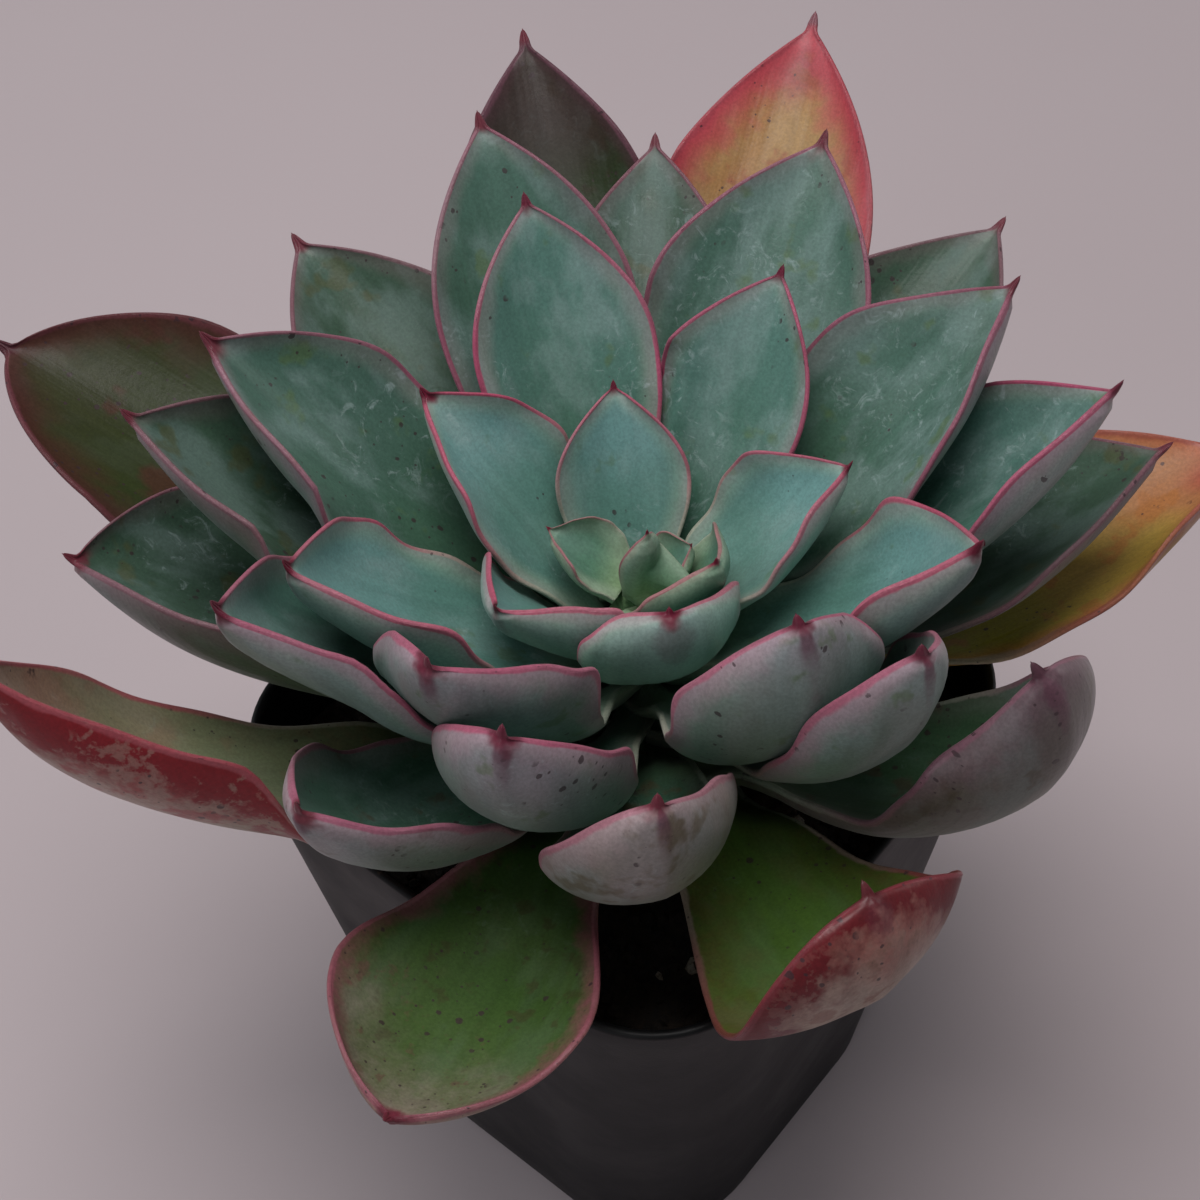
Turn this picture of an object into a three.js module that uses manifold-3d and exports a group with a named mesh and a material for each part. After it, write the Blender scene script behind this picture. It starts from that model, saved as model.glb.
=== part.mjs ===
// A potted echeveria: an open cup of fleshy pointed leaves on a short stem,
// in a square plastic nursery pot filled with soil.
// Millimetres, +Z up. The origin is the middle of the pot's underside.
// The pot's sides run along X and Y, and its corner at +X, -Y is the front corner.

import * as THREE from 'three';
import { mergeVertices } from 'three/addons/utils/BufferGeometryUtils.js';
import Module from 'manifold-3d';

const wasm = await Module();
wasm.setup();

// Driving dimensions

const GAP = 0.3;

const POT_HEIGHT = 75;
const POT_RIM_SIDE = 70;
const POT_RIM_CORNER = 15;
const POT_BASE_SIDE = 55;
const POT_BASE_CORNER = 16;
const POT_WALL = 1.2;
const POT_FLOOR = 1.6;
const RIM_BEVEL = 0.3;
const CORNER_STEPS = 5;
const DRAIN_SLOT = { width: 3.4, length: 9, fromMiddle: 24 };

const SOIL_LEVEL = 66;
const SOIL_LUMP = 0.9;
const SOIL_RINGS = [0.88, 0.7, 0.5, 0.3];

const AXIS_X = 1.2;
const AXIS_Y = 1.2;
const STEM_SIDES = 14;
const STEM_PROFILE = [
  [4.2, 56], [5.0, 60], [5.4, 67], [4.9, 70], [5.5, 73], [5.0, 76], [5.4, 79],
  [5.0, 83], [4.6, 86], [3.4, 89], [2.2, 92], [1.2, 94.5],
];

const FRONT_CORNER_ANGLE = -45;
const EDGE_THICKNESS = 0.8;
const UPPER_SHARE = 0.25;
const MUCRO_START = 0.93;
const MUCRO_SHARE = 0.1;
const MUCRO_END_HALF_WIDTH = 0.3;
const LEAF_LIMB_END = 0.975;
const CURVE_STEPS = 60;
const STATIONS = [0, 0.14, 0.3, 0.46, 0.6, 0.72, 0.82, 0.9, 1];
const SMALL_STATIONS = [0, 0.2, 0.42, 0.6, 0.76, 0.89, 1];
const ACROSS = [-1, -0.86, -0.5, 0, 0.5, 0.86, 1];

// Leaf outlines: where the leaf is widest, how wide its foot is, how late it widens,
// and how fully its end is rounded. Distances are shares of the leaf's length.

const OGIVE = { widest: 0.62, foot: 0.36, rise: 2.4, fallA: 1.9, fallB: 0.98 };
const YOUNG = { widest: 0.55, foot: 0.45, rise: 1.8, fallA: 1.9, fallB: 1.02 };
const BUD = { widest: 0.52, foot: 0.6, rise: 1.4, fallA: 1.9, fallB: 1 };
const ROUND = { widest: 0.64, foot: 0.36, rise: 2.4, fallA: 2.1, fallB: 0.7 };
const BROAD = { widest: 0.66, foot: 0.36, rise: 2.3, fallA: 2.1, fallB: 0.74 };
const SPOON = { widest: 0.74, foot: 0.4, rise: 3.2, fallA: 2.4, fallB: 0.55 };
const WEDGE = { widest: 0.72, foot: 0.34, rise: 5.5, fallA: 1.5, fallB: 0.5 };
const STUB = { widest: 0.7, foot: 0.55, rise: 1.2, fallA: 3, fallB: 0.5 };

// Leaves, from the heart outwards. Each row holds the name, the turn seen from above
// (0 to the front corner, 90 to the right), the foot's height, length, width, pitch at the foot
// and at the tip, lateness of the curl, cup, swing along the leaf, tilt at the foot,
// roll along the leaf, height of the margin's ripple, and outline.

const BUD_LEAVES = [
  ['bud_front', 95, 93.8, 9, 8.5, 30, 76, 1.5, 60, 0, 0, 0, 0, ROUND],
  ['bud_back', 38, 94.6, 11.2, 6, 72, 96, 1.5, 66, 0, 0, 0, 0, BUD],
];

const RINGS = [
  {
    colour: '#9fbda3', footRadius: 1.5, thickness: 2, leaves: [
      ['heart_left', -122, 94.2, 10.5, 10.5, 24, 42, 1.5, 76, 0, 0, 0, 0.3, BUD],
      ['heart_right', 48, 94.4, 16, 17, 20, 94, 1.2, 62, 0, 0, -2, 0.3, BUD],
    ],
  },
  {
    colour: '#86a99b', footRadius: 3.5, thickness: 3, leaves: [
      ['a_back', 180, 89, 24, 16, 42, 58, 2, 48, 0, 0, 0, 0.3, YOUNG],
      ['a_right', 93, 89, 28, 20, 38, 58, 2, 58, 8, 0, -12, 0.8, YOUNG],
      ['a_left', -130, 89, 32, 20, 38, 50, 2, 55, 0, 0, 8, 0.8, YOUNG],
      ['a_front_left', -58, 91, 21, 23, 25, 72, 1.3, 66, 0, 0, 18, 0.8, YOUNG],
      ['a_front', 9, 90, 22, 22, 20, 112, 1.3, 66, 0, 0, 0, 0.8, ROUND],
    ],
  },
  {
    colour: '#7ba092', footRadius: 4, thickness: 3.8, leaves: [
      ['b_back', -169, 86, 48, 22, 38, 48, 2, 42, 0, 0, 0, 0.5, OGIVE],
      ['b_back_right', 144, 86, 41, 20, 40, 52, 2, 46, 0, 0, 0, 0.5, OGIVE],
      ['b_left', -74, 86, 45, 25, 26, 70, 1.6, 58, 0, 0, 10, 1.2, OGIVE],
      ['b_right', 63, 86, 45, 24, 28, 75, 2, 58, 0, 0, -12, 1.2, OGIVE],
      ['b_front_left', -42, 87, 44, 26, 10, 88, 1.15, 62, 0, 0, 18, 1.6, ROUND],
      ['b_front_right', 28, 86, 46, 26, 5, 118, 1.3, 60, 0, 0, -6, 1.2, ROUND],
    ],
  },
  {
    colour: '#749889', footRadius: 4, thickness: 4, leaves: [
      ['c_back_left', -114, 84, 56, 27, 33, 54, 2, 52, 0, 0, 8, 1, OGIVE],
      ['c_back_right', 111, 84, 55, 26, 33, 55, 2, 52, 0, 0, -8, 1, OGIVE],
      ['c_left', -68, 84, 55, 27, 20, 72, 1.5, 60, 0, 0, 12, 1.6, OGIVE],
      ['c_front', -26, 83, 51, 23, 2, 104, 1.3, 62, 0, 0, 12, 1.2, ROUND],
      ['c_front_right', 40, 82.5, 53, 22, 5, 100, 1.3, 60, 0, 0, -6, 1.2, ROUND],
    ],
  },
  {
    colour: '#6d9181', footRadius: 4, thickness: 4.2, leaves: [
      ['d_front', -3, 81, 53.5, 24, -3, 110, 1.5, 60, 0, 0, 26, 1.2, ROUND],
      ['d_front_left', -49, 81, 54.5, 24, -4, 84, 1.6, 60, 0, 0, 10, 1.2, ROUND],
      ['d_left', -104, 82, 60, 28, 26, 52, 2, 54, 0, 0, 10, 1, OGIVE],
      ['d_back_left', -167, 82, 62, 25, 34, 46, 2, 44, 0, 0, 0, 0.6, OGIVE],
      ['d_back_right', 149, 82, 61, 28, 32, 43, 2, 46, 0, 0, 0, 0.8, OGIVE],
      ['d_right', 92, 82, 59, 27, 26, 61, 2, 62, 0, 0, -16, 1, OGIVE],
    ],
  },
  {
    colour: '#668a76', footRadius: 4, thickness: 4.2, leaves: [
      ['e_back', 171, 80, 63, 23, 24, 34, 2, 40, 0, 0, 0, 0.6, OGIVE],
      ['e_back_left', -144, 80, 62, 28, 22, 36, 2, 46, 0, 0, 0, 0.8, OGIVE],
      ['e_back_right', 130, 80, 65, 28, 20, 33, 2, 46, 0, 0, 0, 0.8, OGIVE],
      ['e_left', -95, 79, 62, 34, 11, 48, 2, 62, 0, 0, 18, 1, BROAD],
      ['e_front_right', 54, 78, 66, 29, -8, 132, 1.9, 56, 0, 0, -26, 0.8, ROUND],
    ],
  },
  {
    colour: '#7d8a52', footRadius: 4.5, thickness: 4, leaves: [
      ['old_back', -176, 77, 80, 28, 23, 38, 2, 38, 0, 0, 0, 0.6, OGIVE],
      ['old_back_red', 157, 77.5, 84, 29, 21, 36, 2, 38, 0, 0, 0, 0.6, OGIVE],
      ['old_left', -119, 77, 80, 33, 15, 29, 2, 42, 0, 0, 0, 1, BROAD],
      ['old_right', 96, 77.5, 61, 27, 16, 42, 2, 46, 0, 0, -10, 0.8, OGIVE],
      ['old_right_orange', 100, 74.5, 73, 31, 6, 36, 2, 44, 0, 0, -10, 1.8, OGIVE],
      ['old_front_right', 19.5, 78, 65, 28, -3, 142, 2.8, 22, 0, 0, 14, 0.8, SPOON],
      ['old_front_left', -28, 78, 61, 29, 1, 50, 4, 44, 0, 0, 0, 1, WEDGE],
      ['old_left_red', -60, 78, 82, 28, -2, 84, 1.5, 56, -36, 10, 36, 1, OGIVE],
    ],
  },
];

const DRIED_STUB = ['dried_stub', 40, 80.2, 19, 6, 0, 4, 2, 60, 0, 0, 0, 0.4, STUB];

// Small helpers

const radians = THREE.MathUtils.degToRad;

function smooth(x) {
  const c = THREE.MathUtils.clamp(x, 0, 1);
  return c * c * (3 - 2 * c);
}

function solidFrom(points, triangles) {
  return new wasm.Manifold(new wasm.Mesh({
    numProp: 3,
    vertProperties: new Float32Array(points.flat()),
    triVerts: new Uint32Array(triangles.flat()),
  }));
}

// Joins closed rings of equal length in order, with a flat fan or a strip on both ends.
function loft(rings, closeEnd) {
  const points = rings.flat();
  const triangles = [];
  const n = rings[0].length;
  for (let i = 0; i < rings.length - 1; i += 1) {
    for (let j = 0; j < n; j += 1) {
      const a = i * n + j;
      const b = i * n + (j + 1) % n;
      triangles.push([a, b, b + n], [a, b + n, a + n]);
    }
  }
  const last = (rings.length - 1) * n;
  closeEnd(triangles, 0, n, true);
  closeEnd(triangles, last, n, false);
  return solidFrom(points, triangles);
}

function fanEnd(triangles, start, n, first) {
  for (let j = 1; j < n - 1; j += 1) {
    const [b, c] = first ? [j + 1, j] : [j, j + 1];
    triangles.push([start, start + b, start + c]);
  }
}

// A strip between the upper and the lower row of a leaf's section.
function stripEnd(triangles, start, n, first) {
  for (let j = 0; j < n / 2 - 1; j += 1) {
    const a = start + j;
    const b = start + j + 1;
    const c = start + n - 2 - j;
    const d = start + n - 1 - j;
    if (first) triangles.push([a, c, b], [a, d, c]);
    else triangles.push([a, b, c], [a, c, d]);
  }
}

// Rounded squares for the pot and the soil

function roundedSquare(side, corner, z) {
  const inset = side / 2 - corner;
  const centres = [[inset, inset], [-inset, inset], [-inset, -inset], [inset, -inset]];
  return centres.flatMap(([x, y], quarter) => (
    Array.from({ length: CORNER_STEPS + 1 }, (_, step) => {
      const angle = (quarter + step / CORNER_STEPS) * Math.PI / 2;
      return [x + corner * Math.cos(angle), y + corner * Math.sin(angle), z];
    })
  ));
}

function potSection(z, inset) {
  const share = z / POT_HEIGHT;
  const side = THREE.MathUtils.lerp(POT_BASE_SIDE, POT_RIM_SIDE, share);
  const corner = THREE.MathUtils.lerp(POT_BASE_CORNER, POT_RIM_CORNER, share);
  return roundedSquare(side - 2 * inset, corner - inset, z);
}

// The pot is one thin shell: up the outside, over the rim, and down the inside.
function potShell(grow) {
  return loft([
    potSection(-grow, RIM_BEVEL - grow),
    potSection(RIM_BEVEL, -grow),
    potSection(POT_HEIGHT - RIM_BEVEL, -grow),
    potSection(POT_HEIGHT + grow, RIM_BEVEL - grow),
    potSection(POT_HEIGHT + grow, POT_WALL - RIM_BEVEL + grow),
    potSection(POT_HEIGHT - RIM_BEVEL, POT_WALL + grow),
    potSection(POT_FLOOR + grow, POT_WALL + grow),
  ], fanEnd);
}

function potSolid() {
  return [45, 135, 225, 315].reduce((pot, angle) => pot.subtract(drainSlot(angle)), potShell(0));
}

function drainSlot(angle) {
  const box = new THREE.BoxGeometry(DRAIN_SLOT.width, DRAIN_SLOT.length, POT_FLOOR * 3);
  box.translate(DRAIN_SLOT.fromMiddle, 0, 0);
  box.rotateZ(radians(angle));
  return solidFromGeometry(box);
}

function solidFromGeometry(geometry) {
  geometry.deleteAttribute('normal');
  geometry.deleteAttribute('uv');
  const merged = mergeVertices(geometry, 1e-4);
  return new wasm.Manifold(new wasm.Mesh({
    numProp: 3,
    vertProperties: new Float32Array(merged.attributes.position.array),
    triVerts: new Uint32Array(merged.index.array),
  }));
}

function lump(x, y) {
  const wide = Math.sin(0.31 * x + 1.1) * Math.cos(0.27 * y - 0.6);
  const fine = Math.sin(0.83 * x - 0.71 * y) * Math.sin(0.64 * x + 0.92 * y + 2.2);
  return SOIL_LUMP * (0.6 * wide + 0.4 * fine);
}

// Soil fills the pot with a small gap to its wall and floor, and its top is lumpy.
function soilSolid(stemClearance) {
  const bottom = potSection(POT_FLOOR + GAP, POT_WALL + GAP);
  const edge = potSection(SOIL_LEVEL - SOIL_LUMP, POT_WALL + GAP);
  const top = SOIL_RINGS.map((share) => edge.map(([x, y]) => (
    [x * share, y * share, SOIL_LEVEL + lump(x * share, y * share)]
  )));
  return loft([bottom, edge, ...top], fanEnd).subtract(stemClearance);
}

// The stem is turned round the rosette's axis, with low swellings where leaves grew.
function stemSolid(grow) {
  const foot = STEM_PROFILE[0][1] - grow;
  const head = STEM_PROFILE.at(-1)[1] + 1 + grow;
  const outline = STEM_PROFILE.map(([radius, z]) => new THREE.Vector2(radius + grow, z));
  const profile = [new THREE.Vector2(0, foot), ...outline, new THREE.Vector2(0, head)];
  const lathe = new THREE.LatheGeometry(profile, STEM_SIDES);
  lathe.rotateX(Math.PI / 2);
  lathe.translate(AXIS_X, AXIS_Y, 0);
  return solidFromGeometry(lathe);
}

// Leaves

function halfWidthShare(outline, s) {
  const { widest, foot, rise, fallA, fallB } = outline;
  const rising = foot + (1 - foot) * Math.sin(0.5 * Math.PI * Math.min(s / widest, 1)) ** rise;
  const u = THREE.MathUtils.clamp((s - widest) / (LEAF_LIMB_END - widest), 0, 1);
  const falling = Math.max(1 - u ** fallA, 0) ** fallB;
  const limb = s < widest ? rising : falling;
  const mucro = MUCRO_SHARE * Math.min(Math.max((1 - s) / (1 - MUCRO_START), 0), 1) ** 1.3;
  return Math.max(limb, mucro);
}

// The midrib leaves the stem and bends upwards, and the section's own frame goes with it.
function midrib(row, footRadius) {
  const [, turn, foot, length, , pitchStart, pitchEnd, late, , swing, tilt, roll] = row;
  const angle = radians(FRONT_CORNER_ANGLE + turn);
  const outward = new THREE.Vector3(Math.cos(angle), Math.sin(angle), 0);
  const sideways = new THREE.Vector3(-Math.sin(angle), Math.cos(angle), 0);
  const up = new THREE.Vector3(0, 0, 1);
  const frameAt = (s) => {
    const pitch = radians(pitchStart + (pitchEnd - pitchStart) * s ** late);
    const yaw = radians(swing * s);
    const twist = radians(tilt + roll * s);
    const flat = outward.clone().multiplyScalar(Math.cos(yaw)).addScaledVector(sideways, Math.sin(yaw));
    const along = flat.clone().multiplyScalar(Math.cos(pitch)).addScaledVector(up, Math.sin(pitch));
    const level = sideways.clone().multiplyScalar(Math.cos(yaw)).addScaledVector(outward, -Math.sin(yaw));
    const raised = along.clone().cross(level);
    const side = level.multiplyScalar(Math.cos(twist)).addScaledVector(raised, Math.sin(twist));
    return { along, side, normal: along.clone().cross(side) };
  };
  const points = [new THREE.Vector3(AXIS_X, AXIS_Y, foot).addScaledVector(outward, footRadius)];
  for (let i = 0; i < CURVE_STEPS; i += 1) {
    const middle = frameAt((i + 0.5) / CURVE_STEPS);
    points.push(points[i].clone().addScaledVector(middle.along, length / CURVE_STEPS));
  }
  const pointAt = (s) => {
    const place = s * CURVE_STEPS;
    const i = Math.min(Math.floor(place), CURVE_STEPS - 1);
    return points[i].clone().lerp(points[i + 1], place - i);
  };
  return { frameAt, pointAt };
}

// One leaf: a cupped blade, thick along its keel and thin at its rippled margins, with a
// small point on its end. Grow pushes every face outwards, to cut clearance from a neighbour.
function leafSolid(row, { footRadius, thickness, stations = STATIONS }, grow = 0) {
  const [, , , length, width, , , , cup, , , , ripple, outline] = row;
  const { frameAt, pointAt } = midrib(row, footRadius);
  const ends = [0, stations.length - 1];
  const rings = stations.map((s, index) => {
    const { along, side, normal } = frameAt(s);
    const centre = pointAt(s);
    if (index === ends[0]) centre.addScaledVector(along, -grow);
    if (index === ends[1]) centre.addScaledVector(along, grow);
    const half = Math.max(halfWidthShare(outline, s) * width / 2, MUCRO_END_HALF_WIDTH);
    const bend = radians(cup) * (0.55 + 0.45 * smooth(s / 0.7));
    const keel = thickness * (1 - 0.45 * s - 0.35 * s ** 6);
    const slim = THREE.MathUtils.clamp(half / 2, 0.25, 1);
    const place = (v, upper) => {
      const wave = ripple * Math.sin(3.2 * Math.PI * s + 0.9 * Math.sign(v))
        * Math.abs(v) ** 3 * Math.sqrt(Math.max(Math.sin(Math.PI * s), 0));
      const across = half * Math.sin(bend * v) / bend + Math.sign(v) * grow * (Math.abs(v) === 1);
      const height = half * (1 - Math.cos(bend * v)) / bend + wave;
      const full = EDGE_THICKNESS + (keel - EDGE_THICKNESS) * (1 - Math.abs(v) ** 2.4);
      const depth = Math.max(full * slim, EDGE_THICKNESS);
      const offset = upper ? UPPER_SHARE * depth + grow : -(1 - UPPER_SHARE) * depth - grow;
      return centre.clone()
        .addScaledVector(side, across - offset * Math.sin(bend * v))
        .addScaledVector(normal, height + offset * Math.cos(bend * v))
        .toArray();
    };
    return [
      ...ACROSS.map((v) => place(v, false)),
      ...ACROSS.toReversed().map((v) => place(v, true)),
    ];
  });
  return loft(rings, stripEnd);
}

function largestPiece(solid) {
  return solid.decompose().reduce((best, piece) => (piece.volume() > best.volume() ? piece : best));
}

function boxesTouch(a, b) {
  const p = a.boundingBox();
  const q = b.boundingBox();
  return [0, 1, 2].every((i) => p.min[i] < q.max[i] && q.min[i] < p.max[i]);
}

// Cuts from a piece whatever stands in its way, and keeps the main piece.
function clearOf(solid, obstacles) {
  const near = obstacles.filter((obstacle) => boxesTouch(solid, obstacle));
  return largestPiece(near.reduce((rest, obstacle) => rest.subtract(obstacle), solid));
}

// Assembly

const plant = new THREE.Group();

function addPiece(name, solid, colour, roughness, metalness = 0) {
  const mesh = solid.getMesh();
  const geometry = new THREE.BufferGeometry();
  geometry.setAttribute('position', new THREE.BufferAttribute(mesh.vertProperties, 3));
  geometry.setIndex(new THREE.BufferAttribute(mesh.triVerts, 1));
  geometry.computeVertexNormals();
  const material = new THREE.MeshStandardMaterial({ color: colour, roughness, metalness });
  const piece = new THREE.Mesh(geometry, material);
  piece.name = name;
  plant.add(piece);
}

const stem = stemSolid(0);
const stemClearance = stemSolid(GAP);
addPiece('pot', potSolid(), '#1d1e20', 0.6);
addPiece('soil', soilSolid(stemClearance), '#2a201a', 0.95);
addPiece('stem', stem, '#6b5a41', 0.8);

const budStyle = { footRadius: 0.4, thickness: 1.8, stations: SMALL_STATIONS };
const bud = BUD_LEAVES.map((row) => leafSolid(row, budStyle)).reduce((a, b) => a.add(b));
const budClearance = BUD_LEAVES.map((row) => leafSolid(row, budStyle, GAP));
addPiece('heart_bud', clearOf(bud, [stemClearance]), '#a8c2a4', 0.55);

const obstacles = [potShell(GAP), stemClearance, ...budClearance];
for (const { colour, footRadius, thickness, leaves } of RINGS) {
  const small = footRadius < 4;
  const style = { footRadius, thickness, stations: small ? SMALL_STATIONS : STATIONS };
  for (const row of leaves) {
    addPiece(`leaf_${row[0]}`, clearOf(leafSolid(row, style), obstacles), colour, 0.55);
    obstacles.push(leafSolid(row, style, GAP));
  }
}

const stubStyle = { footRadius: 4.5, thickness: 1.4, stations: SMALL_STATIONS };
addPiece('dried_stub', clearOf(leafSolid(DRIED_STUB, stubStyle), obstacles), '#5a4330', 0.85);

export default plant;
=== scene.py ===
import math
from collections import namedtuple
from types import SimpleNamespace

import bpy
import numpy as np
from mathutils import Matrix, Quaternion, Vector, noise
from mathutils.bvhtree import BVHTree


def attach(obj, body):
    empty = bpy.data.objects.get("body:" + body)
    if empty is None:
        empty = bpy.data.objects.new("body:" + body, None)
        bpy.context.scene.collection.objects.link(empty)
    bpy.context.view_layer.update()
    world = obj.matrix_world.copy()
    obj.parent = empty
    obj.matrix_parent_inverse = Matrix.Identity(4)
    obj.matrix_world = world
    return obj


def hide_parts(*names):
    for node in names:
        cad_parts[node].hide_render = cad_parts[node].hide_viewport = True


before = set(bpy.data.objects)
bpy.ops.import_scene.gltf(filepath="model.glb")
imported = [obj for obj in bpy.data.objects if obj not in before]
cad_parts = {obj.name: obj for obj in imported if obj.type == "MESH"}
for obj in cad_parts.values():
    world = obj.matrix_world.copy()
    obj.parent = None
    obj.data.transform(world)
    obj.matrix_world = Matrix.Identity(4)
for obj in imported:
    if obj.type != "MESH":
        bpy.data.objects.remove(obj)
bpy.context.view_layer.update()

# Driving sizes, in millimetres as on the drawing of the part
MM = 0.001

POT_HEIGHT = 75
POT_RIM_SIDE = 70
POT_RIM_CORNER = 15
POT_BASE_SIDE = 55
POT_BASE_CORNER = 16
POT_WALL = 1.2
POT_FLOOR = 1.6
POT_CORNER_STEPS = 16
POT_SIDE_STEPS = 8
DRAIN_SLOT_WIDTH = 3.4
DRAIN_SLOT_LENGTH = 9
DRAIN_SLOT_FROM_MIDDLE = 24

SOIL_LEVEL = 66
SOIL_LUMP = 0.9
SOIL_CLEARANCE = 0.3
SOIL_RINGS = 44
SOIL_WALL_RINGS = 3

# The stem's middle, the direction of the pot's front corner in degrees, and the stem's radius
# and height from its foot to its top
AXIS = np.array([1.2, 1.2, 0.0])
FRONT_CORNER_ANGLE = -45
STEM_PROFILE = [
    (4.2, 56), (5, 60), (5.4, 67), (4.9, 70), (5.5, 73), (5, 76),
    (5.4, 79), (5, 83), (4.6, 86), (3.4, 89), (2.2, 92), (1.2, 94.5), (0.2, 95.5),
]
STEM_LEVELS = 90
STEM_SIDES = 72
GREEN_STEM_FROM = 85
GREEN_STEM_TO = 89

# Leaf margin: its thickness, the leaf width from which it is that thick, and its least share
EDGE_THICKNESS = 0.6
FULL_EDGE_WIDTH = 24
LEAST_EDGE_SHARE = 0.45

# Leaf body: share of its thickness above the middle surface, keel, dents and margin ripples
UPPER_SHARE = 0.25
KEEL_RIDGE = 0.45
KEEL_HALF_WIDTH_SHARE = 0.14
DENT_DEPTH = 0.22
SLOW_RIPPLES = 3.2
QUICK_RIPPLES = 9.1
QUICK_RIPPLE_SHARE = 0.3

# Leaf tip: where the limb ends and the point starts, as shares of the length, and its sizes
LEAF_LIMB_END = 0.975
MUCRO_START = 0.93
MUCRO_SHARE = 0.1
MUCRO_END_HALF_WIDTH = 0.3
POINT_LENGTH = 1.5

# How finely a leaf is divided, and how it is pressed clear of the leaves above it
CURVE_STEPS = 60
LEAF_STATIONS = 76
LEAF_ACROSS = 27
MARGIN_POINTS = 5
SETTLE_GAP = 0.3
SETTLE_REACH = 6.0
SETTLE_ROUNDS = 4
SETTLE_STRIDE = 2

# Leaf outlines: where a leaf is widest, how wide its foot is, how steeply its sides rise to
# there, and two powers that shape how they fall to the tip
OUTLINES = {
    "ogive": (0.62, 0.36, 2.4, 1.9, 0.98),
    "young": (0.55, 0.45, 1.8, 1.9, 1.02),
    "bud": (0.52, 0.6, 1.4, 1.9, 1.0),
    "round": (0.64, 0.36, 2.4, 2.1, 0.7),
    "broad": (0.66, 0.36, 2.3, 2.1, 0.74),
    "spoon": (0.74, 0.4, 3.2, 2.4, 0.55),
    "wedge": (0.72, 0.34, 5.5, 1.5, 0.5),
    "stub": (0.7, 0.55, 1.2, 3.0, 0.5),
}

# One row for each leaf. Turn, pitches, cup, swing, tilt and roll are in degrees: turn goes round
# the stem, pitch is the slope at the foot and at the tip, cup is half the section's bend, swing
# turns the leaf sideways along its length, and tilt and roll twist it, at once and along its length
Leaf = namedtuple("Leaf", (
    "name", "turn", "foot_height", "length", "width", "foot_pitch", "tip_pitch", "lateness",
    "cup", "swing", "tilt", "roll", "ripple", "outline", "look",
))
BUD_LEAVES = [
    ("bud_front", 95, 93.8, 9, 8.5, 30, 76, 1.5, 60, 0, 0, 0, 0, "round", "heart"),
    ("bud_back", 38, 94.6, 11.2, 6, 72, 96, 1.5, 66, 0, 0, 0, 0, "bud", "heart"),
]
HEART_LEAVES = [
    ("heart_left", -122, 94.2, 10.5, 10.5, 24, 42, 1.5, 76, 0, 0, 0, 0.3, "bud", "heart"),
    ("heart_right", 48, 94.4, 16, 17, 20, 94, 1.2, 62, 0, 0, -2, 0.3, "bud", "heart"),
]
A_LEAVES = [
    ("a_back", 180, 89, 24, 16, 42, 58, 2, 48, 0, 0, 0, 0.3, "young", "young"),
    ("a_right", 93, 89, 28, 20, 38, 58, 2, 58, 8, 0, -12, 0.8, "young", "young"),
    ("a_left", -130, 89, 32, 20, 38, 50, 2, 55, 0, 0, 8, 0.8, "young", "young"),
    ("a_front_left", -58, 91, 21, 23, 25, 72, 1.3, 66, 0, 0, 18, 0.8, "young", "young"),
    ("a_front", 9, 90, 22, 22, 20, 112, 1.3, 66, 0, 0, 0, 0.8, "round", "young"),
]
B_LEAVES = [
    ("b_back", -169, 86, 48, 22, 38, 48, 2, 42, 0, 0, 0, 0.5, "ogive", "fresh"),
    ("b_back_right", 144, 86, 41, 20, 40, 52, 2, 46, 0, 0, 0, 0.5, "ogive", "fresh"),
    ("b_left", -74, 86, 45, 25, 26, 70, 1.6, 58, 0, 0, 10, 1.2, "ogive", "young"),
    ("b_right", 63, 86, 45, 24, 28, 75, 2, 58, 0, 0, -12, 1.2, "ogive", "young"),
    ("b_front_left", -42, 87, 44, 26, 10, 88, 1.15, 62, 0, 0, 18, 1.6, "round", "curled"),
    ("b_front_right", 28, 86, 46, 26, 5, 118, 1.3, 60, 0, 0, -6, 1.2, "round", "curled"),
]
C_LEAVES = [
    ("c_back_left", -114, 84, 56, 27, 33, 54, 2, 52, 0, 0, 8, 1, "ogive", "full"),
    ("c_back_right", 111, 84, 55, 26, 33, 55, 2, 52, 0, 0, -8, 1, "ogive", "full"),
    ("c_left", -68, 84, 55, 27, 20, 72, 1.5, 60, 0, 0, 12, 1.6, "ogive", "fresh"),
    ("c_front", -26, 83, 51, 23, 2, 104, 1.3, 62, 0, 0, 12, 1.2, "round", "curled"),
    ("c_front_right", 40, 82.5, 53, 22, 5, 100, 1.3, 60, 0, 0, -6, 1.2, "round", "curled"),
]
D_LEAVES = [
    ("d_front", -3, 81, 53.5, 24, -3, 110, 1.5, 60, 0, 0, 26, 1.2, "round", "curled_tan"),
    ("d_front_left", -49, 81, 54.5, 24, -4, 84, 1.6, 60, 0, 0, 10, 1.2, "round", "curled_low"),
    ("d_left", -104, 82, 60, 28, 26, 52, 2, 54, 0, 0, 10, 1, "ogive", "low"),
    ("d_back_left", -167, 82, 62, 25, 34, 46, 2, 44, 0, 0, 0, 0.6, "ogive", "full"),
    ("d_back_right", 149, 82, 61, 28, 32, 43, 2, 46, 0, 0, 0, 0.8, "ogive", "full"),
    ("d_right", 92, 82, 59, 27, 26, 61, 2, 62, 0, 0, -16, 1, "ogive", "fresh"),
]
E_LEAVES = [
    ("e_back", 171, 80, 63, 23, 24, 34, 2, 40, 0, 0, 0, 0.6, "ogive", "low"),
    ("e_back_left", -144, 80, 62, 28, 22, 36, 2, 46, 0, 0, 0, 0.8, "ogive", "low"),
    ("e_back_right", 130, 80, 65, 28, 20, 33, 2, 46, 0, 0, 0, 0.8, "ogive", "low"),
    ("e_left", -95, 79, 62, 34, 11, 48, 2, 62, 0, 0, 18, 1, "broad", "low"),
    ("e_front_right", 54, 78, 66, 29, -8, 132, 1.9, 56, 0, 0, -26, 0.8, "round", "curled_mauve"),
]
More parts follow.
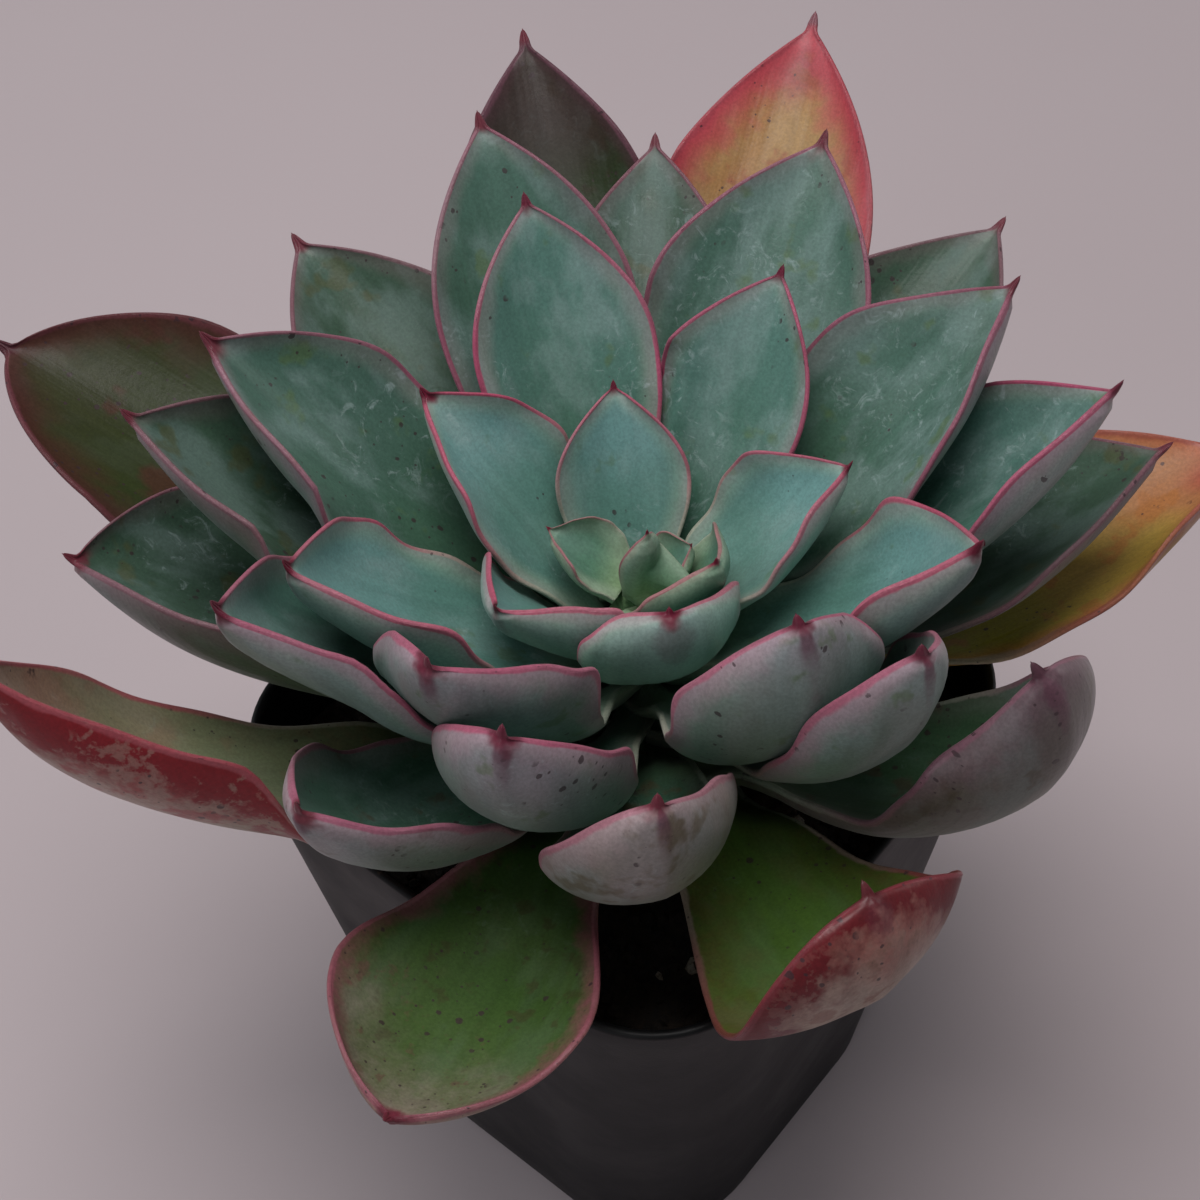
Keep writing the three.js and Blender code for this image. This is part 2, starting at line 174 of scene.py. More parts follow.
OLD_GREEN_LEAVES = [
    ("old_back", -176, 77, 80, 28, 23, 38, 2, 38, 0, 0, 0, 0.6, "ogive", "old_dark"),
    ("old_left", -119, 77, 80, 33, 15, 29, 2, 42, 0, 0, 0, 1, "broad", "old_brown"),
    ("old_right", 96, 77.5, 61, 27, 16, 42, 2, 46, 0, 0, -10, 0.8, "ogive", "low"),
    ("old_front_right", 19.5, 78, 65, 28, -3, 142, 2.8, 22, 0, 0, 14, 0.8, "spoon", "old_crimson"),
    ("old_front_left", -28, 78, 61, 29, 1, 50, 4, 44, 0, 0, 0, 1, "wedge", "old_green"),
]
OLD_RED_LEAVES = [
    ("old_back_red", 157, 77.5, 84, 29, 21, 36, 2, 38, 0, 0, 0, 0.6, "ogive", "old_flame"),
    ("old_right_orange", 100, 74.5, 73, 31, 6, 36, 2, 44, 0, 0, -10, 1.8, "ogive", "old_orange"),
    ("old_left_red", -60, 78, 82, 28, -2, 84, 1.5, 56, -36, 10, 36, 1, "ogive", "old_red"),
]
DRIED_STUB = ("dried_stub", 40, 80.2, 19, 6, 0, 4, 2, 60, 0, 0, 0, 0.4, "stub", "dried")

# Slot, foot radius and thickness of each ring of leaves
RINGS = [
    ("heart_leaf", 1.5, 2.0, HEART_LEAVES),
    ("fresh_leaf", 3.5, 3.0, A_LEAVES),
    ("fresh_leaf", 4.0, 3.8, B_LEAVES),
    ("full_leaf", 4.0, 4.0, C_LEAVES),
    ("full_leaf", 4.0, 4.2, D_LEAVES),
    ("lower_leaf", 4.0, 4.2, E_LEAVES),
    ("old_green_leaf", 4.5, 4.0, OLD_GREEN_LEAVES),
    ("old_red_leaf", 4.5, 4.0, OLD_RED_LEAVES),
]


# Camera, at the angle of the photograph
def add_camera():
    """Place and target are in millimetres, and the roll is in degrees."""
    place = Vector((89.6, -105.1, 260.0)) * MM
    target = Vector((-2.8, -0.1, 90.9)) * MM
    roll = math.radians(-2.8)
    data = bpy.data.cameras.new("camera")
    data.lens = 60
    data.sensor_width = 36
    data.clip_start = 0.01
    camera = bpy.data.objects.new("camera", data)
    bpy.context.collection.objects.link(camera)
    camera.location = place
    camera.rotation_mode = "QUATERNION"
    aim = (target - place).to_track_quat("-Z", "Y")
    camera.rotation_quaternion = aim @ Quaternion((0, 0, 1), roll)
    bpy.context.scene.camera = camera


add_camera()


# Helpers for meshes
def smooth(x):
    c = np.clip(x, 0.0, 1.0)
    return c * c * (3 - 2 * c)


def make_object(name, points, faces, material, smooth_faces=True):
    """A mesh object from points in millimetres."""
    mesh = bpy.data.meshes.new(name)
    mesh.from_pydata((np.asarray(points) * MM).tolist(), [], faces)
    mesh.update()
    if smooth_faces:
        mesh.shade_smooth()
    else:
        mesh.shade_flat()
    if material:
        mesh.materials.append(material)
    piece = bpy.data.objects.new(name, mesh)
    bpy.context.collection.objects.link(piece)
    return piece


def band_faces(rings, size):
    """Quads that join closed rings of the same size, one after the other."""
    faces = []
    for ring in range(rings - 1):
        for step in range(size):
            a = ring * size + step
            b = ring * size + (step + 1) % size
            faces.append((a, b, b + size, a + size))
    return faces


def cap_faces(start, size, centre, forward):
    """A fan of triangles from a ring to a point in its middle."""
    faces = []
    for step in range(size):
        a = start + step
        b = start + (step + 1) % size
        faces.append((a, b, centre) if forward else (b, a, centre))
    return faces


def closed_faces(rings, size):
    """A closed body's faces: rings, then a point in the middle of the first and of the last."""
    count = rings * size
    faces = band_faces(rings, size)
    faces += cap_faces(0, size, count, False)
    faces += cap_faces(count - size, size, count + 1, True)
    return faces


def keep(piece, node):
    """A finished piece that rides on the part and stands for one of its nodes."""
    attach(piece, "root")
    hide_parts(node)


# Helpers for node trees and materials
class Graph:
    """A node tree under way, whose nodes take plain values or the outputs of other nodes."""

    def __init__(self, tree):
        self.tree = tree

    def add(self, kind, values=None, **settings):
        made = self.tree.nodes.new(kind)
        for key, value in settings.items():
            setattr(made, key, value)
        for key, value in (values or {}).items():
            self.feed(made.inputs[key], value)
        return made

    def feed(self, socket, value):
        if isinstance(value, bpy.types.NodeSocket):
            self.tree.links.new(value, socket)
        elif isinstance(value, tuple) and len(value) == 3 and socket.type == "RGBA":
            socket.default_value = (*value, 1.0)
        else:
            socket.default_value = value


class Recipe(Graph):
    """A material under way: most calls add one node and give its output back."""

    def __init__(self, name):
        self.material = bpy.data.materials.new(name)
        self.material.use_nodes = True
        super().__init__(self.material.node_tree)
        self.shader = self.tree.nodes["Principled BSDF"]

    def place(self):
        return self.add("ShaderNodeTexCoord").outputs["Object"]

    def attribute(self, name):
        return self.add("ShaderNodeAttribute", attribute_name=name)

    def parts(self, vector):
        return self.add("ShaderNodeSeparateXYZ", {0: vector}).outputs

    def vector(self, x, y, z):
        return self.add("ShaderNodeCombineXYZ", {0: x, 1: y, 2: z}).outputs[0]

    def math(self, operation, a, b=0.0):
        return self.add("ShaderNodeMath", {0: a, 1: b}, operation=operation).outputs[0]

    def times(self, a, b):
        return self.math("MULTIPLY", a, b)

    def plus(self, a, b):
        return self.math("ADD", a, b)

    def fade(self, value, start, end, low=0.0, high=1.0):
        values = {0: value, 1: start, 2: end, 3: low, 4: high}
        kind = "ShaderNodeMapRange"
        return self.add(kind, values, interpolation_type="SMOOTHSTEP").outputs[0]

    def noise(self, vector, size, detail=3.0, rough=0.5, twist=0.0):
        """Cloudy noise whose blobs are about size millimetres wide, in metres' coordinates."""
        values = {"Vector": vector, "Scale": 1 / (size * MM), "Detail": detail,
                  "Roughness": rough, "Distortion": twist}
        return self.add("ShaderNodeTexNoise", values).outputs[0]

    def streaks(self, vector, scale, detail):
        values = {"Vector": vector, "Scale": scale, "Detail": detail, "Roughness": 0.55}
        return self.add("ShaderNodeTexNoise", values).outputs[0]

    def cells(self, vector, scale):
        values = {"Vector": vector, "Scale": scale}
        made = self.add("ShaderNodeTexVoronoi", values, voronoi_dimensions="2D")
        return made.outputs["Distance"], made.outputs["Color"]

    def ramp(self, value, stops):
        """Fades through stops, each of which is a position and a colour's three parts."""
        made = self.add("ShaderNodeValToRGB", {0: value})
        made.color_ramp.interpolation = "EASE"
        elements = made.color_ramp.elements
        while len(elements) < len(stops):
            elements.new(0.5)
        for element, stop in zip(elements, stops):
            element.position = stop[0]
        for element, stop in zip(elements, stops):
            element.color = (*stop[1:], 1.0)
        return made.outputs[0]

    def mix(self, share, a, b, blend="MIX"):
        made = self.add("ShaderNodeMix", data_type="RGBA", blend_type=blend)
        self.feed(made.inputs[0], share)
        self.feed(made.inputs[6], a)
        self.feed(made.inputs[7], b)
        return made.outputs[2]

    def overlay(self, share, colour, pattern, start, end, low, high):
        """Lightens and darkens a colour with a pattern faded between two shades of grey."""
        shade = self.fade(pattern, start, end, low, high)
        return self.mix(share, colour, self.mix(1.0, colour, shade, "OVERLAY"))

    def bump(self, height, distance, strength, below=None):
        values = {"Height": height, "Distance": distance * MM, "Strength": strength}
        if below is not None:
            values["Normal"] = below
        return self.add("ShaderNodeBump", values).outputs[0]

    def finish(self, colour, roughness, normal=None, **constants):
        self.feed(self.shader.inputs["Base Color"], colour)
        self.feed(self.shader.inputs["Roughness"], roughness)
        if normal is not None:
            self.feed(self.shader.inputs["Normal"], normal)
        for name, value in constants.items():
            self.shader.inputs[name.replace("_", " ")].default_value = value
        return self.material


# Leaf looks: colours are surface colours in linear light
BLOOM = (0.27, 0.37, 0.36)
POWDER = (0.42, 0.52, 0.52)
PALE_EDGE = (0.36, 0.44, 0.33)
OLIVE = (0.09, 0.15, 0.05)
SPECK = (0.045, 0.025, 0.03)
STAIN = (0.13, 0.06, 0.05)
SCAR = (0.24, 0.2, 0.16)
MAROON = (0.15, 0.025, 0.04)
PURPLE = (0.12, 0.045, 0.07)
SHADED_GREEN = [
    (0, 0.112, 0.192, 0.088), (0.35, 0.056, 0.128, 0.08), (1, 0.08, 0.168, 0.128),
]

# upper and lower: colours along the leaf, each after its place; margin: its colour and width;
# blush: colour near the margin, its width, and its share above and below; blotch: colour, share
# and size of patches; pale: how much the skin lightens just inside the margin; bloom, specks and
# streak: how much powder, dark specks and purple keel there is; tip: colour of the point. Some
# also have shine: gloss; mottle: how broken the blush is; scar: how much healed skin there is;
# bare_above: share of the blotches on the upper side
LOOKS = {
    "heart": dict(
        upper=[(0, 0.2, 0.3, 0.15), (0.5, 0.085, 0.2, 0.13), (1, 0.11, 0.24, 0.18)],
        lower=[(0, 0.24, 0.34, 0.17), (0.6, 0.13, 0.26, 0.16), (1, 0.16, 0.28, 0.2)],
        margin=((0.42, 0.14, 0.17), 0.1), blush=((0.4, 0.36, 0.28), 0.8, 0.3, 0.4), pale=0.7,
        blotch=(OLIVE, 0.05, 4.0), bloom=0.3, specks=0.0, tip=(0.2, 0.015, 0.04), streak=0.2,
    ),
    "young": dict(
        upper=[(0, 0.204, 0.323, 0.204), (0.35, 0.1, 0.225, 0.188), (0.8, 0.15, 0.3, 0.288),
               (1, 0.2, 0.34, 0.315)],
        lower=[(0, 0.2, 0.34, 0.22), (0.5, 0.19, 0.33, 0.27), (1, 0.28, 0.35, 0.33)],
        margin=((0.46, 0.06, 0.13), 0.2), blush=((0.4, 0.25, 0.3), 1.8, 0.25, 0.5), pale=0.5,
        blotch=(OLIVE, 0.08, 6.0), bloom=0.75, specks=0.05, tip=(0.15, 0.01, 0.03), streak=0.45,
    ),
    "fresh": dict(
        upper=[(0, 0.15, 0.25, 0.13), (0.35, 0.06, 0.15, 0.104), (0.8, 0.086, 0.188, 0.156),
               (1, 0.116, 0.215, 0.185)],
        lower=[(0, 0.2, 0.32, 0.18), (0.5, 0.17, 0.28, 0.22), (1, 0.29, 0.31, 0.31)],
        margin=((0.4, 0.07, 0.14), 0.2), blush=((0.4, 0.23, 0.3), 2.6, 0.25, 0.6), pale=0.3,
        blotch=(OLIVE, 0.3, 7.0), bloom=0.7, specks=0.25, tip=(0.14, 0.015, 0.035), streak=0.6,
    ),
    "curled": dict(
        upper=[(0, 0.144, 0.24, 0.128), (0.35, 0.064, 0.152, 0.104), (1, 0.112, 0.224, 0.2)],
        lower=[(0, 0.16, 0.25, 0.13), (0.45, 0.15, 0.235, 0.175), (0.75, 0.19, 0.235, 0.205),
               (1, 0.27, 0.25, 0.27)],
        margin=((0.42, 0.09, 0.16), 0.36), blush=((0.36, 0.21, 0.27), 3.6, 0.3, 0.65), pale=0.25,
        blotch=(OLIVE, 0.3, 5.0), bloom=0.6, specks=0.5, tip=(0.14, 0.02, 0.04), streak=1.0,
    ),
    "curled_low": dict(
        upper=SHADED_GREEN,
        lower=[(0, 0.15, 0.24, 0.11), (0.45, 0.16, 0.23, 0.17), (1, 0.27, 0.25, 0.26)],
        margin=((0.36, 0.11, 0.17), 0.32), blush=((0.38, 0.23, 0.28), 3.2, 0.25, 0.6), pale=0.15,
        blotch=((0.11, 0.08, 0.045), 0.45, 5.0), bloom=0.5, specks=0.55, tip=MAROON, streak=1.0,
    ),
    "curled_tan": dict(
        upper=SHADED_GREEN,
        lower=[(0, 0.16, 0.2, 0.1), (0.5, 0.17, 0.17, 0.1), (1, 0.28, 0.24, 0.24)],
        margin=((0.38, 0.13, 0.18), 0.36), blush=((0.4, 0.26, 0.29), 3.4, 0.25, 0.55), pale=0.15,
        blotch=((0.12, 0.085, 0.045), 0.75, 6.0), bloom=0.45, specks=0.5, tip=MAROON, streak=1.0,
    ),
    "curled_mauve": dict(
        upper=[(0, 0.096, 0.16, 0.064), (0.35, 0.044, 0.096, 0.048), (1, 0.056, 0.112, 0.064)],
        lower=[(0, 0.09, 0.13, 0.05), (0.5, 0.095, 0.1, 0.06), (1, 0.13, 0.09, 0.1)],
        margin=((0.24, 0.1, 0.14), 0.4), blush=((0.17, 0.085, 0.12), 4.5, 0.2, 0.5), pale=0.1,
        blotch=((0.08, 0.06, 0.04), 0.6, 5.0), bloom=0.4, specks=0.7, tip=(0.09, 0.035, 0.05),
        streak=0.9,
    ),
    "full": dict(
        upper=[(0, 0.11, 0.18, 0.08), (0.35, 0.052, 0.12, 0.076), (0.8, 0.07, 0.146, 0.112),
               (1, 0.1, 0.168, 0.134)],
        lower=[(0, 0.16, 0.24, 0.12), (0.5, 0.14, 0.21, 0.16), (1, 0.24, 0.24, 0.25)],
        margin=((0.3, 0.09, 0.14), 0.2), blush=((0.3, 0.19, 0.24), 2.8, 0.25, 0.6), pale=0.2,
        blotch=(OLIVE, 0.5, 7.0), bloom=0.65, specks=0.5, tip=MAROON, streak=0.6,
    ),
    "low": dict(
        upper=[(0, 0.08, 0.125, 0.05), (0.35, 0.034, 0.078, 0.042), (1, 0.052, 0.1, 0.068)],
        lower=[(0, 0.12, 0.18, 0.08), (0.5, 0.1, 0.15, 0.1), (1, 0.17, 0.15, 0.16)],
        margin=((0.22, 0.08, 0.11), 0.2), blush=((0.2, 0.12, 0.14), 3.0, 0.3, 0.6), pale=0.12,
        blotch=((0.08, 0.085, 0.03), 0.5, 7.0), bloom=0.5, specks=0.6, tip=MAROON, streak=0.7,
    ),
    "old_dark": dict(
        upper=[(0, 0.035, 0.07, 0.012), (0.4, 0.012, 0.036, 0.006), (0.75, 0.02, 0.034, 0.01),
               (1, 0.045, 0.03, 0.026)],
        lower=[(0, 0.05, 0.066, 0.02), (0.5, 0.034, 0.036, 0.018), (1, 0.05, 0.03, 0.03)],
        margin=((0.14, 0.06, 0.08), 0.5), blush=((0.07, 0.036, 0.04), 2.5, 0.7, 0.6), pale=0.0,
        blotch=((0.034, 0.02, 0.012), 0.6, 8.0), bloom=0.04, specks=0.8, tip=MAROON, streak=0.8,
        shine=0.22,
    ),
    "old_brown": dict(
        upper=[(0, 0.07, 0.1, 0.022), (0.45, 0.026, 0.048, 0.01), (0.8, 0.036, 0.04, 0.014),
               (1, 0.05, 0.03, 0.018)],
        lower=[(0, 0.072, 0.09, 0.03), (0.5, 0.048, 0.048, 0.024), (1, 0.06, 0.036, 0.03)],
        margin=((0.14, 0.04, 0.05), 0.6), blush=((0.075, 0.024, 0.02), 6.0, 0.85, 0.7), pale=0.0,
        blotch=((0.07, 0.022, 0.016), 0.75, 9.0), bloom=0.04, specks=0.8, tip=(0.08, 0.02, 0.03),
        streak=0.8, shine=0.25,
    ),
    "old_green": dict(
        upper=[(0, 0.06, 0.12, 0.022), (0.45, 0.034, 0.08, 0.014), (0.66, 0.055, 0.1, 0.026),
               (0.8, 0.13, 0.14, 0.075), (1, 0.26, 0.2, 0.16)],
        lower=[(0, 0.14, 0.2, 0.06), (0.6, 0.2, 0.21, 0.08), (1, 0.36, 0.26, 0.2)],
        margin=((0.3, 0.09, 0.12), 0.3), blush=((0.22, 0.07, 0.085), 3.0, 0.85, 0.6), pale=0.0,
        blotch=((0.05, 0.05, 0.018), 0.5, 3.5), bloom=0.08, specks=0.9, tip=MAROON, streak=0.6,
        shine=0.35, mottle=0.35, scar=0.6,
    ),
    "old_crimson": dict(
        upper=[(0, 0.08, 0.152, 0.032), (0.5, 0.06, 0.12, 0.02), (1, 0.112, 0.096, 0.024)],
        lower=[(0, 0.2, 0.22, 0.1), (0.55, 0.34, 0.27, 0.17), (0.8, 0.38, 0.27, 0.22),
               (1, 0.3, 0.12, 0.1)],
        margin=((0.2, 0.035, 0.045), 0.4), blush=((0.13, 0.012, 0.016), 8.5, 0.3, 1.8), pale=0.0,
        blotch=((0.2, 0.06, 0.04), 0.7, 4.0), bloom=0.1, specks=0.8, tip=(0.1, 0.015, 0.02), streak=0.3,
        bare_above=0.0, mottle=0.5, scar=0.3,
    ),
    "old_flame": dict(
        upper=[(0, 0.14, 0.156, 0.031), (0.4, 0.234, 0.172, 0.039), (0.7, 0.374, 0.211, 0.07),
               (0.88, 0.34, 0.06, 0.055), (1, 0.26, 0.045, 0.06)],
        lower=[(0, 0.156, 0.156, 0.039), (0.5, 0.281, 0.125, 0.062), (1, 0.328, 0.07, 0.086)],
        margin=((0.36, 0.06, 0.08), 0.6), blush=((0.46, 0.06, 0.08), 6.0, 1.0, 0.8), pale=0.0,
        blotch=((0.3, 0.08, 0.04), 0.8, 6.0), bloom=0.1, specks=0.6, tip=(0.2, 0.06, 0.08), streak=0.3,
    ),
    "old_orange": dict(
        upper=[(0, 0.18, 0.2, 0.016), (0.4, 0.3, 0.26, 0.014), (0.65, 0.38, 0.26, 0.045),
               (0.85, 0.406, 0.172, 0.07), (1, 0.39, 0.078, 0.062)],
        lower=[(0, 0.18, 0.2, 0.016), (0.4, 0.3, 0.26, 0.014), (0.65, 0.37, 0.25, 0.05),
               (1, 0.39, 0.109, 0.078)],
        margin=((0.34, 0.09, 0.07), 0.6), blush=((0.5, 0.13, 0.07), 3.0, 0.5, 0.4), pale=0.0,
        blotch=((0.4, 0.15, 0.04), 0.6, 6.0), bloom=0.05, specks=0.5, tip=(0.25, 0.06, 0.06),
        streak=0.3,
    ),
    "old_red": dict(
        upper=[(0, 0.112, 0.16, 0.064), (0.5, 0.176, 0.2, 0.112), (1, 0.288, 0.192, 0.136)],
        lower=[(0, 0.24, 0.26, 0.15), (0.4, 0.32, 0.27, 0.19), (0.62, 0.36, 0.25, 0.2),
               (1, 0.38, 0.2, 0.18)],
        margin=((0.36, 0.08, 0.1), 0.4), blush=((0.22, 0.012, 0.018), 9.0, 0.1, 1.8), pale=0.0,
        blotch=((0.3, 0.025, 0.03), 0.95, 6.0), bloom=0.15, specks=0.6, tip=(0.2, 0.04, 0.05),
        streak=0.3, bare_above=0.15, mottle=0.7,
    ),
    "dried": dict(
        upper=[(0, 0.04, 0.028, 0.016), (1, 0.096, 0.064, 0.036)],
        lower=[(0, 0.04, 0.028, 0.018), (1, 0.1, 0.065, 0.035)],
        margin=((0.16, 0.11, 0.07), 0.6), blush=((0.07, 0.04, 0.025), 2.0, 0.4, 0.4), pale=0.0,
        blotch=((0.025, 0.018, 0.014), 0.6, 2.0), bloom=0.0, specks=0.6, tip=(0.06, 0.035, 0.025),
        streak=0.0,
    ),
}


def skin_patterns(r, look):
    """The look, places on the skin in millimetres, and noise from broad clouds to fine grain."""
    place = r.place()
    along, across, under = r.parts(r.attribute("leaf").outputs["Vector"])
    skin = r.attribute("skin").outputs["Vector"]
    lengthwise, sideways, apart = r.parts(skin)
    broad = r.noise(place, 24, 2.0)
    patch = r.noise(place, look["blotch"][2], 3.0, 0.6)
    drawn_out = r.vector(r.times(lengthwise, 0.06), sideways, apart)
    strewn = r.vector(r.times(lengthwise, 0.55), sideways, apart)
    return SimpleNamespace(
        look=look, place=place, skin=skin, across=across, under=under, broad=broad, patch=patch,
        rim=r.attribute("rim").outputs["Fac"],
        tip=r.attribute("tip").outputs["Fac"],
        aside=r.math("ABSOLUTE", sideways),
        drift=r.plus(along, r.fade(broad, 0.3, 0.7, -0.12, 0.12)),
        uneven=r.fade(patch, 0.3, 0.7, 0.65, 1.35),
        fine=r.noise(place, 1.6, 3.0, 0.65),
        grain=r.noise(place, 0.35, 2.0, 0.6),
        veins=r.streaks(drawn_out, 0.7, 2.0),
        flour=r.streaks(strewn, 0.16, 4.0),
    )


def flesh_colour(r, at):
    """The flesh above and below, pale just inside the margin and faintly streaked lengthwise."""
    below = r.fade(at.under, 0.35, 0.65)
    body = r.mix(below, r.ramp(at.drift, at.look["upper"]), r.ramp(at.drift, at.look["lower"]))
    edge_glow = r.times(r.fade(at.rim, 3.2, 0.7), at.look["pale"])
    edge_glow = r.times(edge_glow, r.fade(at.broad, 0.3, 0.7, 0.5, 1.0))
    body = r.mix(edge_glow, body, PALE_EDGE)
    return r.overlay(0.18, body, at.veins, 0.3, 0.7, 0.3, 0.66)


def bloom_islands(r, at):
    """Soft islands of powdery bloom, thicker towards the tip."""
    outer = r.fade(at.drift, 0.15, 0.75, 0.35, 1.0)
    return r.times(r.fade(at.flour, 0.44, 0.64), outer)


def add_wisps(r, body, at):
    """Wisps of thicker powder, left where nothing has rubbed the leaf."""
    wisps = r.noise(at.place, 2.6, 4.0, 0.72, 1.4)
    wisps = r.times(r.fade(wisps, 0.54, 0.7), r.fade(at.broad, 0.46, 0.62))
    return r.mix(r.times(wisps, 0.65 * at.look["bloom"]), body, POWDER)


def add_blotches(r, body, at):
    """Patches rubbed bare or stained."""
    colour, share, _ = at.look["blotch"]
    above = at.look.get("bare_above", 1.0)
    rubbed = r.fade(at.patch, 0.66 - 0.16 * share, 0.73 - 0.13 * share)
    rubbed = r.times(rubbed, r.fade(at.under, 0.35, 0.65, above, 1.0))
    return r.mix(r.times(rubbed, 0.4 + 0.4 * share), body, colour)


def add_scars(r, body, at):
    """Healed skin towards the tip, and raw stains beside it."""
    worn = r.plus(r.times(at.patch, 0.6), r.times(at.fine, 0.4))
    healed = r.times(r.fade(worn, 0.42, 0.6), r.fade(at.drift, 0.62, 0.9))
    body = r.mix(r.times(healed, at.look["scar"]), body, SCAR)
    raw = r.times(r.fade(worn, 0.44, 0.38), r.fade(at.drift, 0.55, 0.8))
    return r.mix(r.times(raw, at.look["scar"]), body, STAIN)


def add_blush(r, body, at):
    """Colour that spreads in from the margin, weaker near the foot and broken into mottles."""
    colour, width, above, below = at.look["blush"]
    near = r.fade(r.times(at.rim, at.uneven), width, 0.2)
    mottle = r.plus(r.times(at.fine, 0.5), r.times(at.flour, 0.5))
    mottle = r.fade(mottle, 0.42, 0.56, 1.0 - at.look.get("mottle", 0.0), 1.0)
    near = r.times(near, r.times(mottle, r.fade(at.drift, 0.1, 0.5, 0.3, 1.0)))
    side_share = r.fade(at.under, 0.4, 0.6, above, below)
    return r.mix(r.times(near, side_share), body, colour)


def add_streak(r, body, at):
    """A purple streak down the keel from the tip, on the underside."""
    reach = r.fade(at.tip, 8.0, 0.0, 0.04, 0.22)
    beside = r.math("DIVIDE", r.math("ABSOLUTE", at.across), reach)
    middle = r.fade(r.times(beside, at.uneven), 1.5, 0.6)
    low = r.fade(r.times(at.tip, at.uneven), 8.0, 2.0)
    shade = r.times(r.times(middle, low), r.fade(at.under, 0.5, 0.8))
    return r.mix(r.times(shade, 0.85 * at.look["streak"]), body, PURPLE)


def margin_share(r, at):
    """How much of the margin's colour each place has: a line of uneven width."""
    width = at.look["margin"][1]
    wobble = r.times(at.rim, r.fade(at.patch, 0.3, 0.7, 0.6, 1.6))
    return r.fade(wobble, width * 1.3, width * 0.3)


def add_margin(r, body, at, edge):
    """The coloured margin, darker in places and pale near the foot."""
    line = r.mix(r.fade(at.patch, 0.5, 0.8, 0.0, 0.4), at.look["margin"][0], MAROON)
    line = r.mix(r.fade(at.drift, 0.62, 0.25, 0.0, 0.85), line, PALE_EDGE)
    strength = r.fade(at.broad, 0.3, 0.7, 0.65, 1.0)
    return r.mix(r.times(edge, strength), body, line)


def add_specks(r, body, at):
    """Small dark specks that gather in places, and a few smudges."""
    amount = at.look["specks"]
    crowd = r.fade(at.flour, 0.37 + 0.18 * amount, 0.31 + 0.18 * amount)
    distance, chance = r.cells(at.skin, 0.62)
    size = r.times(r.math("POWER", r.parts(chance)[0], 5.0), 0.2)
    ragged = r.plus(distance, r.fade(at.fine, 0.3, 0.7, -0.08, 0.08))
    dots = r.fade(r.math("SUBTRACT", ragged, size), 0.05, 0.0)
    smudge = r.fade(r.plus(at.fine, r.times(at.patch, 0.6)), 1.0, 1.08)
    marks = r.math("MAXIMUM", r.times(dots, 0.8), r.times(smudge, 0.7))
    return r.mix(r.times(marks, crowd), body, SPECK)


def add_point(r, body, at, length):
    """The dark point at the leaf's tip."""
    reach = min(1.9, 0.05 * length)
    squares = r.plus(r.math("POWER", at.tip, 2.0), r.math("POWER", at.aside, 2.0))
    from_tip = r.times(r.math("SQRT", squares), at.uneven)
    return r.mix(r.fade(from_tip, 1.5 * reach, 0.7 * reach), body, at.look["tip"])


def leaf_material(name, look, length):
    """Waxy skin with a powdery bloom, rubbed and specked, inside a thin coloured margin."""
    r = Recipe(name)
    at = skin_patterns(r, look)
    body = flesh_colour(r, at)
    islands = bloom_islands(r, at)
    body = r.mix(r.times(islands, 0.5 * look["bloom"]), body, BLOOM)
    body = add_wisps(r, body, at)
    body = add_blotches(r, body, at)
    if "scar" in look:
        body = add_scars(r, body, at)
    body = add_blush(r, body, at)
    if look["streak"] > 0:
        body = add_streak(r, body, at)
    edge = margin_share(r, at)
    body = add_margin(r, body, at, edge)
    if look["specks"] > 0:
        body = add_specks(r, body, at)
    body = add_point(r, body, at, length)
    body = r.overlay(0.3, body, at.grain, 0.25, 0.75, 0.3, 0.7)

    gloss = r.fade(islands, 0.0, 1.0, 0.36, 0.52)
    gloss = r.math("SUBTRACT", gloss, r.times(edge, 0.08))
    height = r.plus(r.times(at.fine, 0.5), r.times(at.veins, 0.9))
    return r.finish(
        body, gloss, r.bump(height, 0.16, 0.6),
        Sheen_Weight=0.1 * (look["bloom"] > 0.3), Sheen_Roughness=0.4,
        Specular_IOR_Level=look.get("shine", 0.4), IOR=1.45,
    )


# Leaves
def half_width_share(outline, s):
    """Half the leaf's width at each share s of its length, as a share of the widest half."""
    widest, foot, rise, fall_a, fall_b = OUTLINES[outline]
    rising = foot + (1 - foot) * np.sin(0.5 * np.pi * np.minimum(s / widest, 1)) ** rise
    u = np.clip((s - widest) / (LEAF_LIMB_END - widest), 0, 1)
    falling = np.maximum(1 - u ** fall_a, 0) ** fall_b
    limb = np.where(s < widest, rising, falling)
    mucro = MUCRO_SHARE * np.clip((1 - s) / (1 - MUCRO_START), 0, 1) ** 1.3
    return np.maximum(limb, mucro)


def leaf_frames(leaf, s):
    """Directions along, across and square to the leaf at each share s of its length."""
    angle = math.radians(FRONT_CORNER_ANGLE + leaf.turn)
    outward = np.array([math.cos(angle), math.sin(angle), 0.0])
    sideways = np.array([-math.sin(angle), math.cos(angle), 0.0])
    up = np.array([0.0, 0.0, 1.0])
    rise = (leaf.tip_pitch - leaf.foot_pitch) * s ** leaf.lateness
    pitch = np.radians(leaf.foot_pitch + rise)[:, None]
    yaw = np.radians(leaf.swing * s)[:, None]
    twist = np.radians(leaf.tilt + leaf.roll * s)[:, None]
    flat = outward * np.cos(yaw) + sideways * np.sin(yaw)
    along = flat * np.cos(pitch) + up * np.sin(pitch)
    level = sideways * np.cos(yaw) - outward * np.sin(yaw)
    raised = np.cross(along, level)
    side = level * np.cos(twist) + raised * np.sin(twist)
    return along, side, np.cross(along, side), outward


